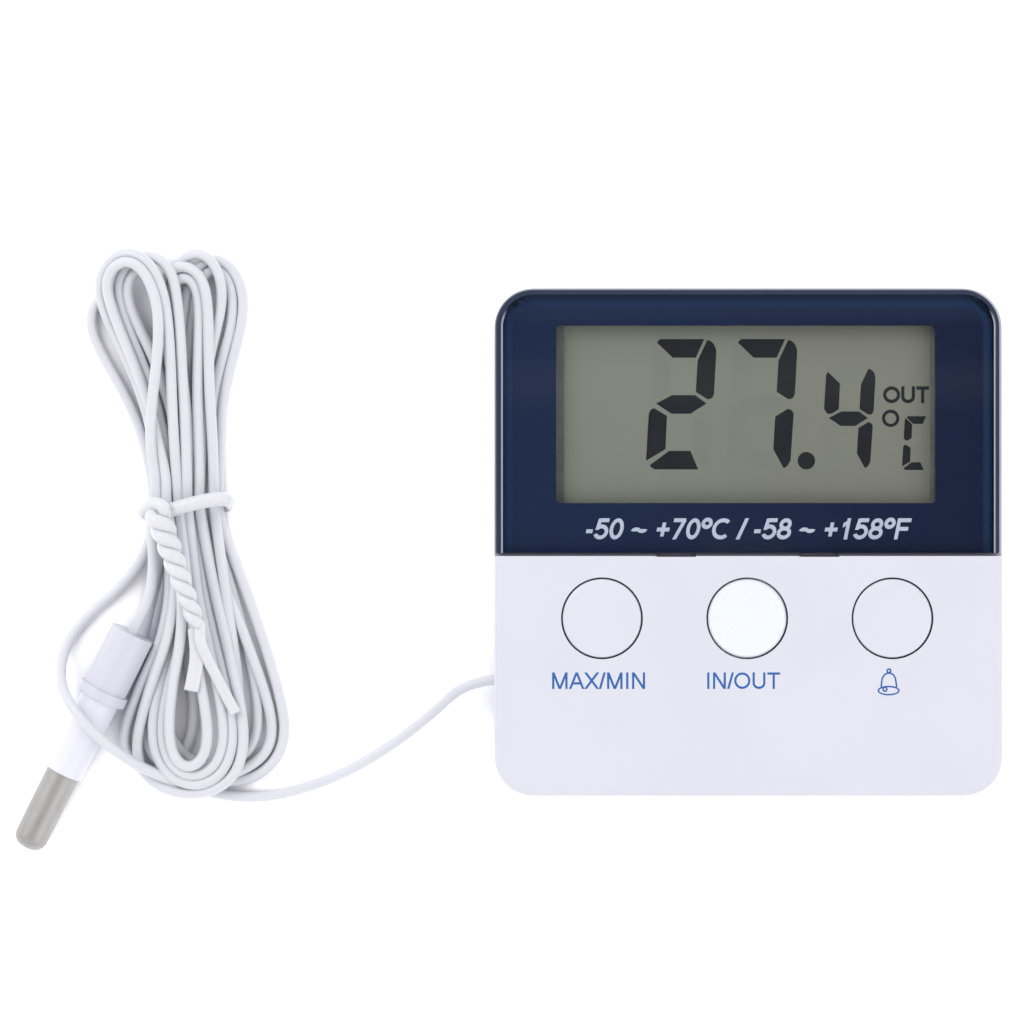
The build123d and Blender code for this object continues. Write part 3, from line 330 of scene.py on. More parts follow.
def blend_colour(tree, factor, low, high):
    """A colour that goes from low to high with the factor."""
    made = node(tree, "Mix")
    made.data_type = "RGBA"
    wire(factor, made.inputs["Factor"])
    for socket, colour in (("A", low), ("B", high)):
        target = [s for s in made.inputs if s.name == socket and s.type == "RGBA"][0]
        if isinstance(colour, tuple):
            target.default_value = (*colour, 1)
        else:
            wire(colour, target)
    return [s for s in made.outputs if s.type == "RGBA"][0]


def bumps(tree, shade, height, microns):
    """Raises the surface by the height, times so many micrometres."""
    made = node(tree, "Bump")
    made.inputs["Distance"].default_value = microns * MICRON
    made.inputs["Strength"].default_value = 1.0
    wire(height, made.inputs["Height"])
    wire(made.outputs["Normal"], shade.inputs["Normal"])


def painted_crease_shade(tree, colour):
    """The colour with painted shade: darker down in narrow gaps, where the ambient occlusion finds little
    open sky.
    """
    shade = node(tree, "AmbientOcclusion")
    shade.inputs["Distance"].default_value = CREASE_REACH
    light = between(tree, shade.outputs["AO"], 0.0, 1.0, *CREASE_SPAN)
    return blend_colour(tree, light, CREASE_SHADE_COLOUR, colour)


def grained(name, low, high, rough, grain, patch, depth, metallic=0.0, specular=0.5, crease_shade=False,
            rims=False):
    """A material whose colour, roughness and surface vary: patch sets its stains and grain its texture."""
    made, tree, shade, place = shader(name)
    broad = noise(tree, place, patch)
    fine = noise(tree, place, grain, 3.0)
    mixed = node(tree, "Math")
    mixed.operation = "MULTIPLY_ADD"
    mixed.inputs[1].default_value = GRAIN
    wire(fine, mixed.inputs[0])
    wire(between(tree, broad, 0.0, STAIN), mixed.inputs[2])
    colour = blend_colour(tree, mixed.outputs[0], low, high)
    # Painted shade on the display opening's wall, and the dark navy rim by the cover.
    if rims:
        colour = shaded_opening_and_dark_rim(tree, place, colour)
    # Painted shade, darker in narrow gaps.
    if crease_shade:
        colour = painted_crease_shade(tree, colour)
    wire(colour, shade.inputs["Base Color"])
    wire(between(tree, fine, *rough), shade.inputs["Roughness"])
    shade.inputs["Metallic"].default_value = metallic
    shade.inputs["Specular IOR Level"].default_value = specular
    bumps(tree, shade, fine, depth)
    return made


def joined(tree, operation, first, second):
    """One number from two, each a socket or a plain value."""
    made = node(tree, "Math")
    made.operation = operation
    for socket, value in zip(made.inputs, (first, second)):
        if isinstance(value, float):
            socket.default_value = value
        else:
            wire(value, socket)
    return made.outputs[0]


def vector_step(tree, operation, vector, value=None):
    """One vector step: the vector and a plain value."""
    made = node(tree, "VectorMath")
    made.operation = operation
    wire(vector, made.inputs[0])
    if value:
        made.inputs[1].default_value = value
    return made


def parts_of(tree, vector):
    """A vector's X, Y and Z, each a number."""
    split = node(tree, "SeparateXYZ")
    wire(vector, split.inputs["Vector"])
    return split.outputs


def all_of(tree, first, *others):
    """1 where every one of the numbers is 1."""
    for other in others:
        first = joined(tree, "MULTIPLY", first, other)
    return first


def shaded_opening_and_dark_rim(tree, place, colour):
    """The front shell's colour: painted shade on the wall of its opening under the cover, and dark navy on
    the rim the cover lies on.
    """
    at = parts_of(tree, place)
    across = joined(tree, "ABSOLUTE", at["X"], 0.0)
    up = joined(tree, "ABSOLUTE", joined(tree, "SUBTRACT", at["Y"], OPENING_Y), 0.0)
    # Painted shade on the opening's wall under the cover.
    opening = all_of(tree, between(tree, across, 1.0, 0.0, *OPENING_WIDE),
                     between(tree, up, 1.0, 0.0, *OPENING_HIGH),
                     between(tree, at["Z"], 1.0, 0.0, *OPENING_TOP))
    rim = all_of(tree, between(tree, cover_edge(tree, place)[0], 1.0, 0.0, *RIM_OUT),
                 between(tree, at["X"], 1.0, 0.0, *RIM_RIGHT),
                 between(tree, at["Z"], 0.0, 1.0, *RIM_Z),
                 between(tree, at["Y"], 0.0, 1.0, *RIM_Y))
    return blend_colour(tree, rim, blend_colour(tree, opening, colour, OPENING_SHADE_COLOUR), RIM_COLOUR)


def cover_edge(tree, place):
    """Metres out from the inner edge of the cover's bevel, and how far it faces sideways."""
    moved = vector_step(tree, "SUBTRACT", place, (COVER_X, 0, 0)).outputs[0]
    away = vector_step(tree, "ABSOLUTE", moved).outputs[0]
    straight = COVER_HALF - COVER_CORNER
    past = vector_step(tree, "SUBTRACT", away, (straight, straight, 0)).outputs[0]
    past = vector_step(tree, "MAXIMUM", past, (0, 0, 0)).outputs[0]
    flat = vector_step(tree, "MULTIPLY", past, (1, 1, 0)).outputs[0]
    long = vector_step(tree, "LENGTH", flat).outputs["Value"]
    sideways = joined(tree, "DIVIDE", parts_of(tree, flat)["X"], long)
    return joined(tree, "SUBTRACT", long, COVER_CORNER), sideways


def stripe(tree, at, middle, half):
    """1 on a line at the middle, fading to 0 at half its width on each side."""
    off = joined(tree, "ABSOLUTE", joined(tree, "SUBTRACT", at, middle), 0.0)
    return between(tree, off, 1.0, 0.0, half * 0.4, half)


def mixed_shader(tree, share, first, second):
    """The first shader's output, with the second's taking its share."""
    made = node(tree, "MixShader")
    for socket, source in zip(made.inputs, (share, first, second)):
        wire(source, socket)
    return made.outputs[0]


def clear_cover(name):
    """Clear moulded plastic over the print: an inky bevel, with a painted highlight along its arris at the
    sides.
    """
    made, tree, shade, place = shader(name)
    tree.nodes.remove(shade)
    clear = node(tree, "BsdfTransparent").outputs[0]
    gloss = node(tree, "BsdfGlossy")
    rim = node(tree, "BsdfDiffuse")
    fresnel = node(tree, "Fresnel")
    fresnel.inputs["IOR"].default_value = COVER_IOR
    haze = noise(tree, place, COVER_HAZE, 3.0)
    wire(between(tree, haze, *COVER_GLOSS), gloss.inputs["Roughness"])
    geometry = node(tree, "NewGeometry")
    normal = geometry.outputs["True Normal"]
    for target in (gloss.inputs["Normal"], fresnel.inputs["Normal"]):
        wire(normal, target)
    level = joined(tree, "ABSOLUTE", parts_of(tree, normal)["Z"], 0.0)
    sloped = between(tree, level, 1.0, 0.0, *BEVEL_LEVEL)
    edge, sideways = cover_edge(tree, place)
    # Painted highlight: a pale stripe on the bevel's arris at the sides.
    glint = all_of(tree, stripe(tree, edge, GLINT_AT, GLINT_HALF),
                   between(tree, sideways, 0.0, 1.0, *GLINT_SIDEWAYS))
    bevel = blend_colour(tree, haze, *BEVEL_COLOURS)
    wire(blend_colour(tree, glint, bevel, PAINTED_GLINT_COLOUR), rim.inputs["Color"])
    covered = joined(tree, "MAXIMUM", joined(tree, "MULTIPLY", sloped, BEVEL_COVERS),
                     joined(tree, "MULTIPLY", glint, GLINT_COVERS))
    body = mixed_shader(tree, covered, clear, rim.outputs[0])
    front = joined(tree, "SUBTRACT", 1.0, geometry.outputs["Backfacing"])
    bright = joined(tree, "SUBTRACT", 1.0, joined(tree, "MULTIPLY", sloped, BEVEL_DULLS))
    mirror = all_of(tree, fresnel.outputs[0], front, bright)
    whole = mixed_shader(tree, mirror, body, gloss.outputs[0])
    wire(whole, tree.nodes["Material Output"].inputs["Surface"])
    return made


def toned(name, corner, far, reach, rough, spread, top=None, line=None):
    """A print or film whose tone drifts from its left (-reach) to its right, with a fine texture."""
    made, tree, shade, place = shader(name)
    at = parts_of(tree, place)
    drift = between(tree, at["X"], 0.0, 1.0, -reach, reach)
    fine = noise(tree, place, 3000, 2.0)
    tone = joined(tree, "ADD", drift, joined(tree, "MULTIPLY", fine, spread))
    colour = blend_colour(tree, tone, corner, far)
    if top:
        colour = blend_colour(tree, between(tree, at["Y"], 0.0, 1.0, *PRINT_TOP), colour, top)
    if line:
        edge = stripe(tree, cover_edge(tree, place)[0], PRINT_LINE_AT, PRINT_LINE_HALF)
        colour = blend_colour(tree, edge, colour, line)
    wire(colour, shade.inputs["Base Color"])
    wire(between(tree, fine, *rough), shade.inputs["Roughness"])
    shade.inputs["Specular IOR Level"].default_value = 0.05
    bumps(tree, shade, fine, 0.4)
    return made


# What the CAD nodes wear: each material's two colours, its roughness, its grain and its stains (features to a
# metre), the grain's depth in micrometres, and the start or end of the nodes' names.
LOOKS = {
    "moulded_back": ((0.56, 0.56, 0.63), (0.6, 0.6, 0.667), (0.45, 0.58), 1500, 60, 8,
                     "rear_shell battery_door stand_leg"),
    "inner_white": ((0.62, 0.62, 0.64), (0.7, 0.7, 0.72), (0.5, 0.6), 1200, 90, 10, "display_holder"),
    "probe_white": ((0.575, 0.57, 0.65), (0.6, 0.595, 0.675), (0.28, 0.38), 1800, 100, 4, "probe_cap"),
    "sleeve_white": ((0.7, 0.7, 0.78), (0.73, 0.73, 0.81), (0.28, 0.38), 1800, 100, 4, "probe_sleeve"),
    # The gasket is a dark part put where shade falls: its near-black colour stands in for the shade along the
    # display's edges inside the window.
    "black_foam": ((0.085, 0.095, 0.09), (0.13, 0.14, 0.135), (0.8, 0.95), 5200, 400, 60, "display_gasket"),
    "board_green": ((0.02, 0.1, 0.04), (0.04, 0.17, 0.07), (0.3, 0.45), 2600, 220, 10, "circuit_board"),
    "black_epoxy": ((0.008, 0.008, 0.009), (0.02, 0.02, 0.022), (0.15, 0.3), 900, 200, 20,
                    "controller_blob room_thermistor thermistor_bead probe_potting"),
    "chip_ceramic": ((0.2, 0.13, 0.08), (0.3, 0.2, 0.13), (0.35, 0.5), 2600, 500, 6, "chip_capacitors"),
    "ceramic": ((0.66, 0.63, 0.55), (0.78, 0.75, 0.68), (0.35, 0.5), 2200, 160, 6, "sounder_ceramic"),
    "grey_rubber": ((0.2, 0.2, 0.21), (0.3, 0.3, 0.31), (0.6, 0.75), 2200, 250, 10, "rubber_contact_strip"),
    "switch_black": ((0.012, 0.012, 0.013), (0.03, 0.03, 0.032), (0.4, 0.55), 2400, 300, 8,
                     "switch_housing switch_plunger"),
    "cell_jacket": ((0.02, 0.03, 0.09), (0.04, 0.06, 0.15), (0.2, 0.32), 1200, 90, 4, "battery_cell"),
    "display_glass": ((0.22, 0.24, 0.22), (0.27, 0.29, 0.27), (0.05, 0.1), 900, 90, 1, "_glass"),
    "cord_stop_pvc": ((0.74, 0.74, 0.8), (0.78, 0.78, 0.84), (0.3, 0.45), 1500, 120, 6, "cord_stop"),
}
METALS = {
    "plated_steel": ((0.5, 0.5, 0.49), (0.66, 0.66, 0.65), (0.22, 0.4), 1600, 200, 4,
                     "_screws battery_spring contact_plate switch_dome"),
    "polished_tube": ((0.37, 0.362, 0.355), (0.43, 0.422, 0.415), (0.48, 0.58), 900, 240, 1.2,
                      "probe_tip stand_pin clock_crystal"),
    "brass": ((0.62, 0.44, 0.16), (0.74, 0.55, 0.24), (0.25, 0.4), 1500, 160, 4, "sounder_disc"),
    "copper": ((0.6, 0.27, 0.14), (0.74, 0.38, 0.22), (0.25, 0.4), 1500, 160, 4, "sensor_wire"),
}


def dress(made, names):
    """Gives one material to every CAD node whose name starts or ends with one of the names."""
    for key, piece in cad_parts.items():
        if any(key.startswith(name) or key.endswith(name) for name in names.split()):
            piece.data.materials.clear()
            piece.data.materials.append(made)


def finish_nodes():
    """Gives every CAD node its material."""
    for table, metallic in ((LOOKS, 0.0), (METALS, 1.0)):
        for name, (*look, nodes) in table.items():
            dress(grained(name, *look, metallic), nodes)
    dress(grained("moulded_white", (0.6, 0.6, 0.675), (0.625, 0.625, 0.7), (0.42, 0.5), 3200, 60, 2.5,
                  crease_shade=True, rims=True), "front_shell")
    dress(grained("button_white", (0.632, 0.634, 0.71), (0.653, 0.655, 0.728), (0.07, 0.11), 2600, 90, 0.6,
                  crease_shade=True), "button")
    dress(toned("display_film", (0.192, 0.213, 0.181), (0.184, 0.189, 0.161), 0.02, (0.35, 0.5), 0.5),
          "display_front_polariser display_reflector")
    dress(toned("navy_print", (0.0105, 0.0208, 0.057), (0.0074, 0.013, 0.038), 0.029, (0.4, 0.46), 0.06,
                top=(0.02, 0.034, 0.074), line=(0.015, 0.033, 0.086)), "window_print")
    dress(clear_cover("clear_lens"), "window_lens")


# ---- meshes

def placed(name, data):
    """A new object in the scene."""
    made = bpy.data.objects.new(name, data)
    bpy.context.scene.collection.objects.link(made)
    return made


def add(name, verts, faces, made, body="case", smooth=False):
    """A new mesh piece, in metres, that rides on a body."""
    mesh = bpy.data.meshes.new(name)
    mesh.from_pydata([tuple(v) for v in verts], [], faces)
    mesh.validate()
    mesh.materials.append(made)
    if smooth:
        mesh.shade_smooth()
    piece = placed(name, mesh)
    if body:
        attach(piece, body)
    return piece


PRINT_THICK = 0.004         # a layer of ink, in millimetres as all sizes of the print
OVERPRINT = 0.0006          # how much higher each stroke of a printed sign lies than the last
LABEL_Z, RANGE_Z = 15.001, 13.755       # undersides of the labels on the case and of the print in the window


def plates(name, outlines, low, high, made, layers=None):
    """Flat shapes: each outline is a list of (x, y), anticlockwise; layers lifts some a hair."""
    verts, faces = [], []
    for outline, layer in zip(outlines, layers or [0] * len(outlines)):
        start, count = len(verts), len(outline)
        verts += [(x * MM, y * MM, low * MM) for x, y in outline]
        verts += [(x * MM, y * MM, (high + layer * OVERPRINT) * MM) for x, y in outline]
        faces.append(tuple(start + count + i for i in range(count)))
        faces.append(tuple(start + i for i in reversed(range(count))))
        for i in range(count):
            j = (i + 1) % count
            faces.append((start + i, start + j, start + count + j, start + count + i))
    return add(name, verts, faces, made, "case")


# ---- display

SLANT = math.tan(math.radians(3.4))
INK_LOW, INK_HIGH, WORD_Z = 11.801, 11.822, 11.811
# The seven bars of the large digits, in millimetres from the digit's lower left corner.
BARS = {
    "a": ((0.47, 15.05), (0.81, 15.46), (6.05, 15.46), (5.19, 13.26), (2.45, 13.26)),
    "b": ((6.43, 15.37), (6.9, 15.2), (7.3, 14.8), (7.58, 14.1), (7.6, 8.95), (7.45, 8.55), (7.2, 8.36),
          (6.85, 8.33), (5.43, 9.2), (5.43, 12.93)),
    "c": ((6.85, 7.17), (7.2, 7.1), (7.5, 6.85), (7.6, 6.5), (7.55, 1.06), (7.2, 0.4), (6.79, 0.13),
          (5.43, 2.4), (5.43, 6.28)),
    "d": ((2.68, 2.2), (5.2, 2.2), (6.26, 0.0), (1.1, 0.0), (0.6, 0.3), (0.51, 0.52)),
    "e": ((0.58, 7.28), (2.17, 6.35), (2.23, 2.4), (0.05, 1.05), (0.0, 1.4), (0.0, 6.6), (0.2, 7.1)),
    "f": ((0.0, 14.4), (0.24, 14.88), (2.2, 13.1), (2.25, 9.17), (1.23, 8.48), (0.53, 8.48), (0.0, 9.2)),
    "g": ((0.79, 7.82), (2.65, 8.81), (5.37, 8.81), (6.77, 7.82), (4.94, 6.61), (2.68, 6.61)),
}


def segment_shapes(x, y, scale):
    """A digit's bars at one size, leaned to the right, with its lower left corner at x, y."""
    return {name: anticlockwise([(x + scale * (px + py * SLANT), y + scale * py) for px, py in bar])
            for name, bar in BARS.items()}


def disc(x, y, radius, sides=40):
    """A round outline."""
    return [(x + radius * math.cos(2 * math.pi * i / sides), y + radius * math.sin(2 * math.pi * i / sides))
            for i in range(sides)]


def arc_pieces(x, y, wide, high, start, stop, line, steps=32):
    """A stroke along part of an oval, between two angles in degrees, as short convex pieces."""
    turn = [math.radians(start + (stop - start) * i / steps) for i in range(steps + 1)]
    out = [(x + (wide + line / 2) * math.cos(a), y + (high + line / 2) * math.sin(a)) for a in turn]
    inside = [(x + (wide - line / 2) * math.cos(a), y + (high - line / 2) * math.sin(a)) for a in turn]
    return [anticlockwise([out[i], out[i + 1], inside[i + 1], inside[i]]) for i in range(steps)]


def bar_piece(x0, y0, x1, y1, line):
    """A straight stroke, whose ends are cut level if it is steep, and upright if it isn't."""
    long = math.hypot(x1 - x0, y1 - y0)
    if abs(y1 - y0) >= abs(x1 - x0):
        half = line / 2 * long / abs(y1 - y0)
        return anticlockwise([(x0 - half, y0), (x0 + half, y0), (x1 + half, y1), (x1 - half, y1)])
    half = line / 2 * long / abs(x1 - x0)
    return anticlockwise([(x0, y0 - half), (x1, y1 - half), (x1, y1 + half), (x0, y0 + half)])


def anticlockwise(outline):
    """The outline, turned round if it runs clockwise."""
    area = sum(a[0] * b[1] - b[0] * a[1] for a, b in zip(outline, outline[1:] + outline[:1]))
    return outline if area > 0 else outline[::-1]


DIGITS = {"2": "abged", "7": "abc", "4": "fgbc", "C": "afed"}
# Each shown character: its bars, lower left corner and size.
SHOWN = (("2", -12.08, 8.6, 1.0), ("7", -2.48, 8.6, 1.0), ("4", 8.7, 8.64, 0.775), ("C", 18.35, 8.53, 0.413))
POINT, POINT_R = (7.02, 9.63), 1.03
DEGREE, DEGREE_R, DEGREE_LINE = (17.02, 14.66), 0.845, 0.37


def display_ink(ink, ghost):
    """What the display shows: a number and its unit, and the bars that are off, which show faintly."""
    dark, faint = [], []
    for character, x, y, scale in SHOWN:
        for name, outline in segment_shapes(x, y, scale).items():
            if name in DIGITS[character]:
                dark.append(outline)
            elif character != "C":
                faint.append(outline)
    dark.append(disc(*POINT, POINT_R))
    dark += arc_pieces(*DEGREE, DEGREE_R, DEGREE_R, 0, 360, DEGREE_LINE)
    plates("display_segments", dark, INK_LOW, INK_HIGH, ink)
    plates("display_idle_segments", faint, INK_LOW, INK_LOW + PRINT_THICK, ghost)


# Plain letters and figures, in capital heights: how far each moves on, its straight strokes (x0, y0, x1, y1)
# and its curved ones (middle, half sizes, and the two angles).
LETTERS = {
    "M": (1.16, ((0.17, 0, 0.17, 1), (0.99, 0, 0.99, 1), (0.17, 1, 0.58, 0), (0.58, 0, 0.99, 1)), ()),
    "A": (0.93, ((0.06, 0, 0.465, 1), (0.465, 1, 0.87, 0), (0.2, 0.31, 0.73, 0.31)), ()),
    "X": (0.93, ((0.08, 0, 0.85, 1), (0.08, 1, 0.85, 0)), ()),
    "/": (0.39, ((0.05, 0, 0.34, 1),), ()),
    "I": (0.39, ((0.195, 0, 0.195, 1),), ()),
    "N": (1.01, ((0.17, 0, 0.17, 1), (0.84, 0, 0.84, 1), (0.17, 1, 0.84, 0)), ()),
    "O": (1.09, (), ((0.545, 0.5, 0.44, 0.5, 0, 360),)),
    "U": (1.01, ((0.17, 0.36, 0.17, 1), (0.84, 0.36, 0.84, 1)), ((0.505, 0.34, 0.335, 0.34, 180, 360),)),
    "T": (0.85, ((0.02, 1, 0.83, 1), (0.425, 0, 0.425, 0.95)), ()),
    "C": (1.01, (), ((0.53, 0.5, 0.42, 0.5, 48, 312),)),
    "F": (0.85, ((0.15, 0, 0.15, 1), (0.15, 1, 0.78, 1), (0.15, 0.5, 0.7, 0.5)), ()),
    "0": (0.78, (), ((0.385, 0.5, 0.27, 0.5, 0, 360),)),
    "1": (0.78, ((0.43, 0, 0.43, 1), (0.17, 0.7, 0.45, 0.9)), ()),
    "5": (0.78, ((0.22, 1, 0.7, 1), (0.15, 0.45, 0.23, 0.98)), ((0.37, 0.32, 0.29, 0.32, -158, 138),)),
    "7": (0.78, ((0.06, 1, 0.69, 1), (0.26, 0, 0.63, 0.9)), ()),
    "8": (0.78, (), ((0.385, 0.76, 0.225, 0.24, 0, 360), (0.385, 0.26, 0.28, 0.26, 0, 360))),
    "-": (0.47, ((0.06, 0.36, 0.4, 0.36),), ()),
    "+": (0.82, ((0.08, 0.46, 0.74, 0.46), (0.41, 0.14, 0.41, 0.8)), ()),
    "~": (0.86, (), ((0.25, 0.34, 0.18, 0.13, 35, 170), (0.56, 0.5, 0.18, 0.13, 215, 350))),
    "\u00b0": (0.58, (), ((0.27, 0.82, 0.2, 0.22, 0, 360),)),
    " ": (0.39, (), ()),
}


def lettering(name, words, centre, wide, high, weight, made, z, shear=0.0):
    """Printed words of the given width and capital height, in millimetres; weight is a stroke's width."""
    line, pen, outlines, layers = weight / high, 0.0, [], []

    def level(y):
        return line / 2 + y * (1 - line)

    for letter in words:
        step, bars, arcs = LETTERS[letter]
        pieces = []
        for x0, y0, x1, y1 in bars:
            if abs(y1 - y0) < abs(x1 - x0):
                y0, y1 = level(y0), level(y1)
            pieces.append([bar_piece(pen + x0, y0, pen + x1, y1, line)])
        for x, y, across, up, start, stop in arcs:
            pieces.append(arc_pieces(pen + x, level(y), across, up * (1 - line), start, stop, line))
        for layer, group in enumerate(pieces):
            outlines += group
            layers += [layer] * len(group)
        pen += step
    low = min(x for outline in outlines for x, y in outline)
    up = max(x for outline in outlines for x, y in outline)
    placed = [[(centre[0] + ((x - low) / (up - low) - 0.5) * wide + (y - 0.5) * high * shear,
                centre[1] + (y - 0.5) * high) for x, y in outline] for outline in outlines]
    return plates(name, placed, z, z + PRINT_THICK, made, layers)


BELL, BELL_LINE, BELL_THICK = (16.51, -16.5), 0.19, 0.006
BELL_DOME = ((-0.885, -0.62), (-0.86, -0.12), (-0.77, 0.41), (-0.56, 0.8), (-0.27, 1.0), (0.02, 1.06),
             (0.3, 1.0), (0.59, 0.8), (0.77, 0.44), (0.87, -0.12), (0.925, -0.62))
# Each oval of the bell: middle and half sizes. They are the open mouth, the clapper and the ring on top.
BELL_OVALS = ((-0.02, -1.02, 1.21, 0.48), (-0.45, -0.86, 0.22, 0.24), (0.02, 1.31, 0.21, 0.21))


def bell_label(made):
    """A bell in outline: dome, open mouth, clapper and the ring it hangs from."""
    dome = np.array(BELL_DOME) + BELL
    along = np.gradient(dome, axis=0)
    along /= np.linalg.norm(along, axis=1)[:, None]
    across = np.stack([-along[:, 1], along[:, 0]], 1) * BELL_LINE / 2
    one, two = (dome + across).tolist(), (dome - across).tolist()
    shapes = [anticlockwise([one[i], one[i + 1], two[i + 1], two[i]]) for i in range(len(one) - 1)]
    layers = [0] * len(shapes)
    for layer, (x, y, wide, high) in enumerate(BELL_OVALS):
        oval = arc_pieces(BELL[0] + x, BELL[1] + y, wide, high, 0, 360, BELL_LINE)
        shapes += oval
        layers += [layer + 1] * len(oval)
    return plates("label_bell", shapes, LABEL_Z, LABEL_Z + BELL_THICK, made, layers)


# ---- cord and tie

GROOVE, GROOVE_HALF = 0.06, 0.22        # the grooves between the cord's two cores: radii deep, radians wide
PROFILE_SIDES = 28
SIDE_STEPS = 6              # rings of faces to each of the spline's pieces


def cord_profile():
    """The cord's section: two cores side by side under one jacket leave a shallow groove on each side."""
    curve = bpy.data.curves.new("cord_section", "CURVE")
    curve.dimensions = "2D"
    spline = curve.splines.new("POLY")
    spline.points.add(PROFILE_SIDES - 1)
    for i, point in enumerate(spline.points):
        angle = 2 * math.pi * i / PROFILE_SIDES
        groove = sum(math.exp(-(math.remainder(angle - at, 2 * math.pi) / GROOVE_HALF) ** 2)
                     for at in (0, math.pi))
        radius = CORD_R * MM * (1 - GROOVE * groove)
        point.co = (radius * math.cos(angle), radius * math.sin(angle), 0, 1)
    spline.use_cyclic_u = True
    shown = placed("cord_section", curve)
    shown.hide_render = True
    shown.hide_viewport = True
    return shown


def make_cord(route, made):
    """The whole cord, one piece from the case to the probe."""
    curve = bpy.data.curves.new("sensor_cord", "CURVE")
    curve.dimensions = "3D"
    curve.resolution_u = SIDE_STEPS
    curve.bevel_mode = "OBJECT"
    curve.bevel_object = cord_profile()
    curve.use_fill_caps = True
    spline = curve.splines.new("NURBS")
    spline.points.add(len(route) - 1)
    for point, (x, y, z) in zip(spline.points, route):
        point.co = (x * MM, y * MM, z * MM, 1)
    spline.order_u = 3
    spline.use_endpoint_u = True
    spline.use_smooth = True
    curve.materials.append(made)
    cord = placed("sensor_cord", curve)
    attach(cord, "case")
    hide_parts("cord_lead", "cord_hank", "cord_tail")
    return cord


def smooth_path(points, count):
    """Evenly spread places on a smooth curve through the given points."""
    points = np.array(points, float)
    ends = np.vstack([2 * points[0] - points[1], points, 2 * points[-1] - points[-2]])
    made = []
    for at in np.linspace(0, len(points) - 1 - 1e-6, count):
        i = int(at)
        t = at - i
        a, b, c, d = ends[i:i + 4]
        square, cube = 2 * a - 5 * b + 4 * c - d, 3 * b - a - 3 * c + d
        made.append(0.5 * (2 * b + (c - a) * t + square * t * t + cube * t ** 3))
    return np.array(made)


def ribbon(path, outward, wide, thick, sides=18):
    """Vertices and faces of a soft flat ribbon along a path; outward is the way its flat side faces."""
    path = np.array(path)
    along = np.gradient(path, axis=0)
    along /= np.linalg.norm(along, axis=1)[:, None]
    face = np.array(outward, float)
    face -= (face * along).sum(1)[:, None] * along
    face /= np.linalg.norm(face, axis=1)[:, None]
    side = np.cross(along, face)
    verts, faces = [], []
    for i in range(sides):
        angle = 2 * math.pi * i / sides
        across, up = wide * math.cos(angle) / 2, thick * math.sin(angle) / 2
        verts.append(path + side * across[:, None] + face * up[:, None])
    count = len(path)
    verts = np.concatenate(verts)
    for i in range(sides):
        j = (i + 1) % sides
        for k in range(count - 1):
            faces.append((i * count + k, i * count + k + 1, j * count + k + 1, j * count + k))
    faces.append(tuple(i * count for i in range(sides)))
    faces.append(tuple(i * count + count - 1 for i in reversed(range(sides))))
    return verts, faces


TWIST_TOP, TWIST_END = (-70.35, 3.3), (-65.75, -10.1)
TWIST_TURNS, TWIST_STEPS = 3.4, 190
TWIST_R = (0.85, 0.5)      # the twist is loose at the hank and tight at its end
TIE_WIDE, TIE_THICK = (1.78, 1.34), (1.62, 1.16)
SINK = 0.15                 # how far the twist presses into the strands
BAND_WIDE, BAND_THICK, BAND_STEPS = 1.75, 1.5, 190
UNDER_THICK, UNDER_SHARE = 0.5, 0.4     # the tie is pressed flat below this share of the hank's height
# The ring round the hank: x, y and height; HIGH is measured from the top of the hank, LOW from the table.
HIGH, MID, LOW = 0, 1, 2
BAND = (
    (-70.0, 4.3, 1.9, HIGH), (-71.0, 4.45, 1.4, HIGH), (-71.9, 4.2, 0.45, HIGH), (-72.4, 3.7, -0.7, HIGH),
    (-72.45, 3.5, 0.0, MID), (-71.9, 3.6, 0.75, LOW), (-70.4, 4.1, 0.3, LOW), (-64.0, 4.4, 0.3, LOW),
    (-62.5, 4.4, 0.7, LOW), (-61.95, 4.6, 0.0, MID), (-62.05, 4.9, -0.7, HIGH), (-62.7, 5.1, 0.2, HIGH),
    (-64.0, 5.0, 0.65, HIGH), (-66.0, 4.6, 0.75, HIGH), (-68.0, 4.05, 0.65, HIGH), (-69.4, 3.6, 0.45, HIGH),
    (-70.7, 3.25, 0.65, HIGH),
)
WAIST, WAIST_REACH = (-67.3, 4.8), 4.5  # the hank's middle where it is tied
RING_MIDDLE, OUTWARD = (-67.35, 4.8), (1, 0, 2.2)   # the ring's flat side faces out, more up than sideways
END_WIDE, END_THICK, END_STEPS, END_REACH = (1.75, 1.35), 0.55, 40, 1.6
# Each spread end: where it lies, its places after the twist, how far from the twist's end in height the first
# is, and how far above the strands the second is.
SHORT_END = ((-66.2, -14.0), ((-65.9, -11.6), (-65.9, -14.4), (-66.55, -18.0)), -0.4, 0.15)
LONG_END = ((-63.4, -16.4), ((-65.2, -12.4), (-63.3, -16.8), (-61.25, -20.75)), 0.1, 0.2)


def top_of(line, x, y, reach=1.2):
    """How high the strands stand near a place."""
    near = np.hypot(line[:, 0] - x, line[:, 1] - y) < reach
    return (line[near, 2].max() if near.any() else 0) + CORD_R


def spread_end(line, tip, twist_low, lies, places, fall, rise):
    """One end of the tie, from its last place in the twist down onto the strands."""
    low = top_of(line, *lies, END_REACH) + END_THICK / 2
    first, second, last = places
    leaving = (*first, max(twist_low + fall, low))
    return smooth_path([tip, leaving, (*second, low + rise), (*last, low)], END_STEPS)


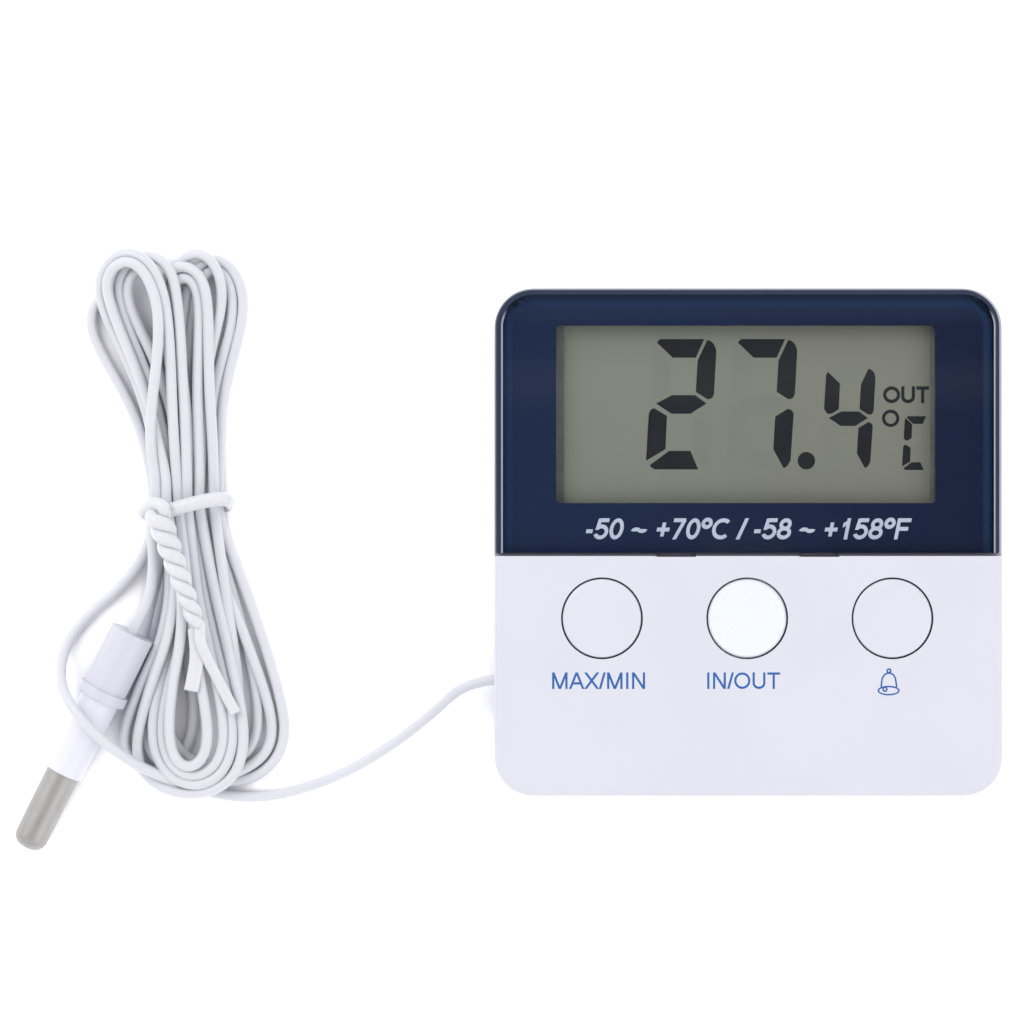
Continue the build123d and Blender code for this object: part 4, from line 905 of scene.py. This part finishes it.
def make_tie(line, made):
    """One coated tie: round the hank, its ends twisted together, then spread flat."""
    top, end = np.array(TWIST_TOP), np.array(TWIST_END)
    places = np.linspace(0.05, 1, 12)
    heights = [top_of(line, *(top + (end - top) * t)) for t in places]
    slope, base = np.polyfit(places, heights, 1)
    lift = max(h - (base + slope * t) for h, t in zip(heights, places))
    start = np.array([*top, base + lift + TWIST_R[0] + TIE_THICK[0] / 2 - SINK])
    stop = np.array([*end, base + slope + lift + TWIST_R[1] + TIE_THICK[1] / 2 - SINK])
    axis = (stop - start) / np.linalg.norm(stop - start)
    side = np.cross(axis, (0, 0, 1))
    side /= np.linalg.norm(side)
    up = np.cross(side, axis)
    share = np.linspace(0, 1, TWIST_STEPS)

    def strand(phase):
        turn = phase + 2 * math.pi * TWIST_TURNS * share
        way = np.cos(turn)[:, None] * side + np.sin(turn)[:, None] * up
        radius = TWIST_R[0] + (TWIST_R[1] - TWIST_R[0]) * share
        return start + (stop - start) * share[:, None] + way * radius[:, None], way

    one, one_out = strand(math.pi)
    two, two_out = strand(0.0)
    waist_top = top_of(line, *WAIST, WAIST_REACH)
    height = {HIGH: waist_top, MID: waist_top / 2, LOW: 0.0}
    ring = [(x, y, height[level] + z) for x, y, z, level in BAND]
    band = smooth_path(np.vstack([one[0], ring, two[0]]), BAND_STEPS)
    out = (band - (*RING_MIDDLE, waist_top / 2)) * OUTWARD
    short = spread_end(line, one[-1], stop[2], *SHORT_END)
    long = spread_end(line, two[-1], stop[2], *LONG_END)
    lying = np.tile((0.0, 0.0, 1.0), (END_STEPS - 1, 1))
    path = np.vstack([short[:0:-1], one[::-1], band[1:-1], two, long[1:]])
    facing = np.vstack([lying, one_out[::-1], out[1:-1], two_out, lying])
    for _ in range(6):
        facing[1:-1] = (facing[:-2] + 2 * facing[1:-1] + facing[2:]) / 4
        facing /= np.linalg.norm(facing, axis=1)[:, None]
    twist_wide = TIE_WIDE[0] + (TIE_WIDE[1] - TIE_WIDE[0]) * share
    twist_thick = TIE_THICK[0] + (TIE_THICK[1] - TIE_THICK[0]) * share
    flat = np.ones(END_STEPS - 1)
    ring_flat = np.ones(BAND_STEPS - 2)
    ring_thick = np.where(band[1:-1, 2] < waist_top * UNDER_SHARE, UNDER_THICK, BAND_THICK)
    wide = np.concatenate([END_WIDE[0] * flat, twist_wide[::-1], BAND_WIDE * ring_flat, twist_wide,
                           END_WIDE[1] * flat])
    thick = np.concatenate([END_THICK * flat, twist_thick[::-1], ring_thick, twist_thick, END_THICK * flat])
    for values in (wide, thick):
        for _ in range(12):
            values[1:-1] = (values[:-2] + values[1:-1] + values[2:]) / 3
    verts, faces = ribbon(path, facing, wide, thick)
    tie = add("coated_tie", verts * MM, faces, made, "case", smooth=True)
    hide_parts("wire_tie")
    return tie


# ---- build

finish_nodes()
cord_pvc = grained("cord_pvc", (0.615, 0.615, 0.672), (0.645, 0.645, 0.7), (0.32, 0.42), 1500, 150, 3)
tie_pvc = grained("tie_pvc", (0.65, 0.65, 0.687), (0.665, 0.665, 0.7), (0.25, 0.36), 1400, 150, 4)
route = settle(*hank_route())
cord = make_cord(route, cord_pvc)
tie = make_tie(basis(len(route)) @ route, tie_pvc)

dark_ink = grained("display_ink", (0.013, 0.0135, 0.018), (0.018, 0.0185, 0.024), (0.4, 0.55), 4000, 300, 1,
                   specular=0.1)
idle_ink = grained("display_idle", (0.18, 0.197, 0.169), (0.172, 0.181, 0.156), (0.4, 0.5), 4000, 300, 1,
                   specular=0.05)
pale_ink = grained("pale_print", (0.36, 0.41, 0.52), (0.42, 0.47, 0.58), (0.4, 0.5), 4000, 600, 1)
blue_ink = grained("blue_print", (0.022, 0.105, 0.33), (0.032, 0.125, 0.37), (0.4, 0.5), 4000, 600, 1,
                   specular=0.2)
display_ink(dark_ink, idle_ink)
lettering("display_out_word", "OUT", (18.85, 17.46), 5.45, 2.0, 0.41, dark_ink, WORD_Z)
lettering("range_print", "-50 ~ +70\u00b0C / -58 ~ +158\u00b0F", (0.0, 1.55), 38.2, 2.5, 0.46, pale_ink,
          RANGE_Z, 0.2)
lettering("label_max_min", "MAX/MIN", (-17.7, -16.35), 11.0, 1.95, 0.27, blue_ink, LABEL_Z)
lettering("label_in_out", "IN/OUT", (-0.6, -16.35), 8.6, 1.95, 0.27, blue_ink, LABEL_Z)
bell_label(blue_ink)


# ---- floor, light and camera

FLOOR_HALF, FLOOR_Z = 2.0, -0.00002
# The floor glows in the open, so that it looks white, and less the more of its sky is hidden.
GLOW, GLOW_REACH, GLOW_SPAN = 0.6, 0.012, (0.4, 0.66)
MIDDLE = (-0.028, 0.0035, 0.0)
# Two small panels, each over the place where it is mirrored.
BUTTON_PANEL, WINDOW_PANEL = (0.0276, -0.0215), (-0.02, 0.0342)
# Each lamp: name, place, size, power and aim.
LAMPS = (
    ("key_panel", (-0.62, 0.55, 0.75), (0.5, 0.5), 2.9, MIDDLE),
    ("fill_panel", (0.7, -0.35, 0.7), (0.5, 0.5), 1.45, MIDDLE),
    ("middle_button_panel", (*BUTTON_PANEL, 0.5), (0.0225, 0.0205), 0.008, (*BUTTON_PANEL, 0.0)),
    ("window_glint", (*WINDOW_PANEL, 0.5), (1.0, 0.0085), 0.006, (*WINDOW_PANEL, 0.0)),
)
UNSEEN_LAMPS = ("middle_button_panel", "window_glint")
SKY_STRENGTH = 1.2
# The sky's brightness from straight down to straight up.
SKY = ((0, (0.35, 0.35, 0.37, 1)), (0.22, (1, 1, 1, 1)), (0.91, (1, 1, 1, 1)),
       (0.985, (0.05, 0.05, 0.055, 1)))
CAMERA, LENS, SENSOR = (-0.02792, 0.00354, 0.5), 144.6, 36.0    # metres, millimetres, millimetres


def pale_floor():
    """A matt pale material, seen from above only."""
    made, tree, shade, place = shader("pale_floor")
    soft = noise(tree, place, 6.0)
    wire(blend_colour(tree, soft, (0.82, 0.815, 0.84), (0.84, 0.835, 0.86)), shade.inputs["Base Color"])
    for socket, value in (("Roughness", 0.9), ("Specular IOR Level", 0.0), ("Emission Color", (1, 1, 1, 1))):
        shade.inputs[socket].default_value = value
    open_sky = node(tree, "AmbientOcclusion")
    open_sky.inputs["Distance"].default_value = GLOW_REACH
    wire(between(tree, open_sky.outputs["AO"], 0.0, GLOW, *GLOW_SPAN), shade.inputs["Emission Strength"])
    under = node(tree, "NewGeometry").outputs["Backfacing"]
    nothing = node(tree, "BsdfTransparent").outputs[0]
    seen = mixed_shader(tree, under, shade.outputs[0], nothing)
    wire(seen, tree.nodes["Material Output"].inputs["Surface"])
    return made


def lamp(name, place, size, power, aim):
    """A soft rectangular lamp that faces a point."""
    data = bpy.data.lights.new(name, "AREA")
    data.shape = "RECTANGLE"
    data.size, data.size_y = size
    data.energy = power
    shown = placed(name, data)
    shown.location = place
    shown.rotation_euler = (Vector(aim) - Vector(place)).to_track_quat("-Z", "Y").to_euler()
    shown.visible_camera = name not in UNSEEN_LAMPS


corners = ((-1, -1), (1, -1), (1, 1), (-1, 1))
floor = add("floor", [(x * FLOOR_HALF, y * FLOOR_HALF, FLOOR_Z) for x, y in corners], [(0, 1, 2, 3)],
            pale_floor(), None)

world = bpy.data.worlds.new("studio")
bpy.context.scene.world = world
world.use_nodes = True
sky = world.node_tree
way = node(sky, "TexCoord").outputs["Generated"]
ramp = node(sky, "ValToRGB")
for _ in SKY[2:]:
    ramp.color_ramp.elements.new(1.0)
for element, (at, colour) in zip(ramp.color_ramp.elements, SKY):
    element.position = at
    element.color = colour
background = sky.nodes["Background"]
wire(parts_of(sky, way)["Z"], ramp.inputs["Fac"])
wire(ramp.outputs["Color"], background.inputs["Color"])
background.inputs["Strength"].default_value = SKY_STRENGTH
for values in LAMPS:
    lamp(*values)

lens = bpy.data.cameras.new("camera")
lens.sensor_width = SENSOR
lens.lens = LENS
camera = placed("camera", lens)
camera.location = CAMERA    # with no rotation it looks straight down
bpy.context.scene.camera = camera
settings = bpy.context.scene.view_settings
settings.view_transform = "Standard"
settings.look = "None"

bpy.context.view_layer.update()
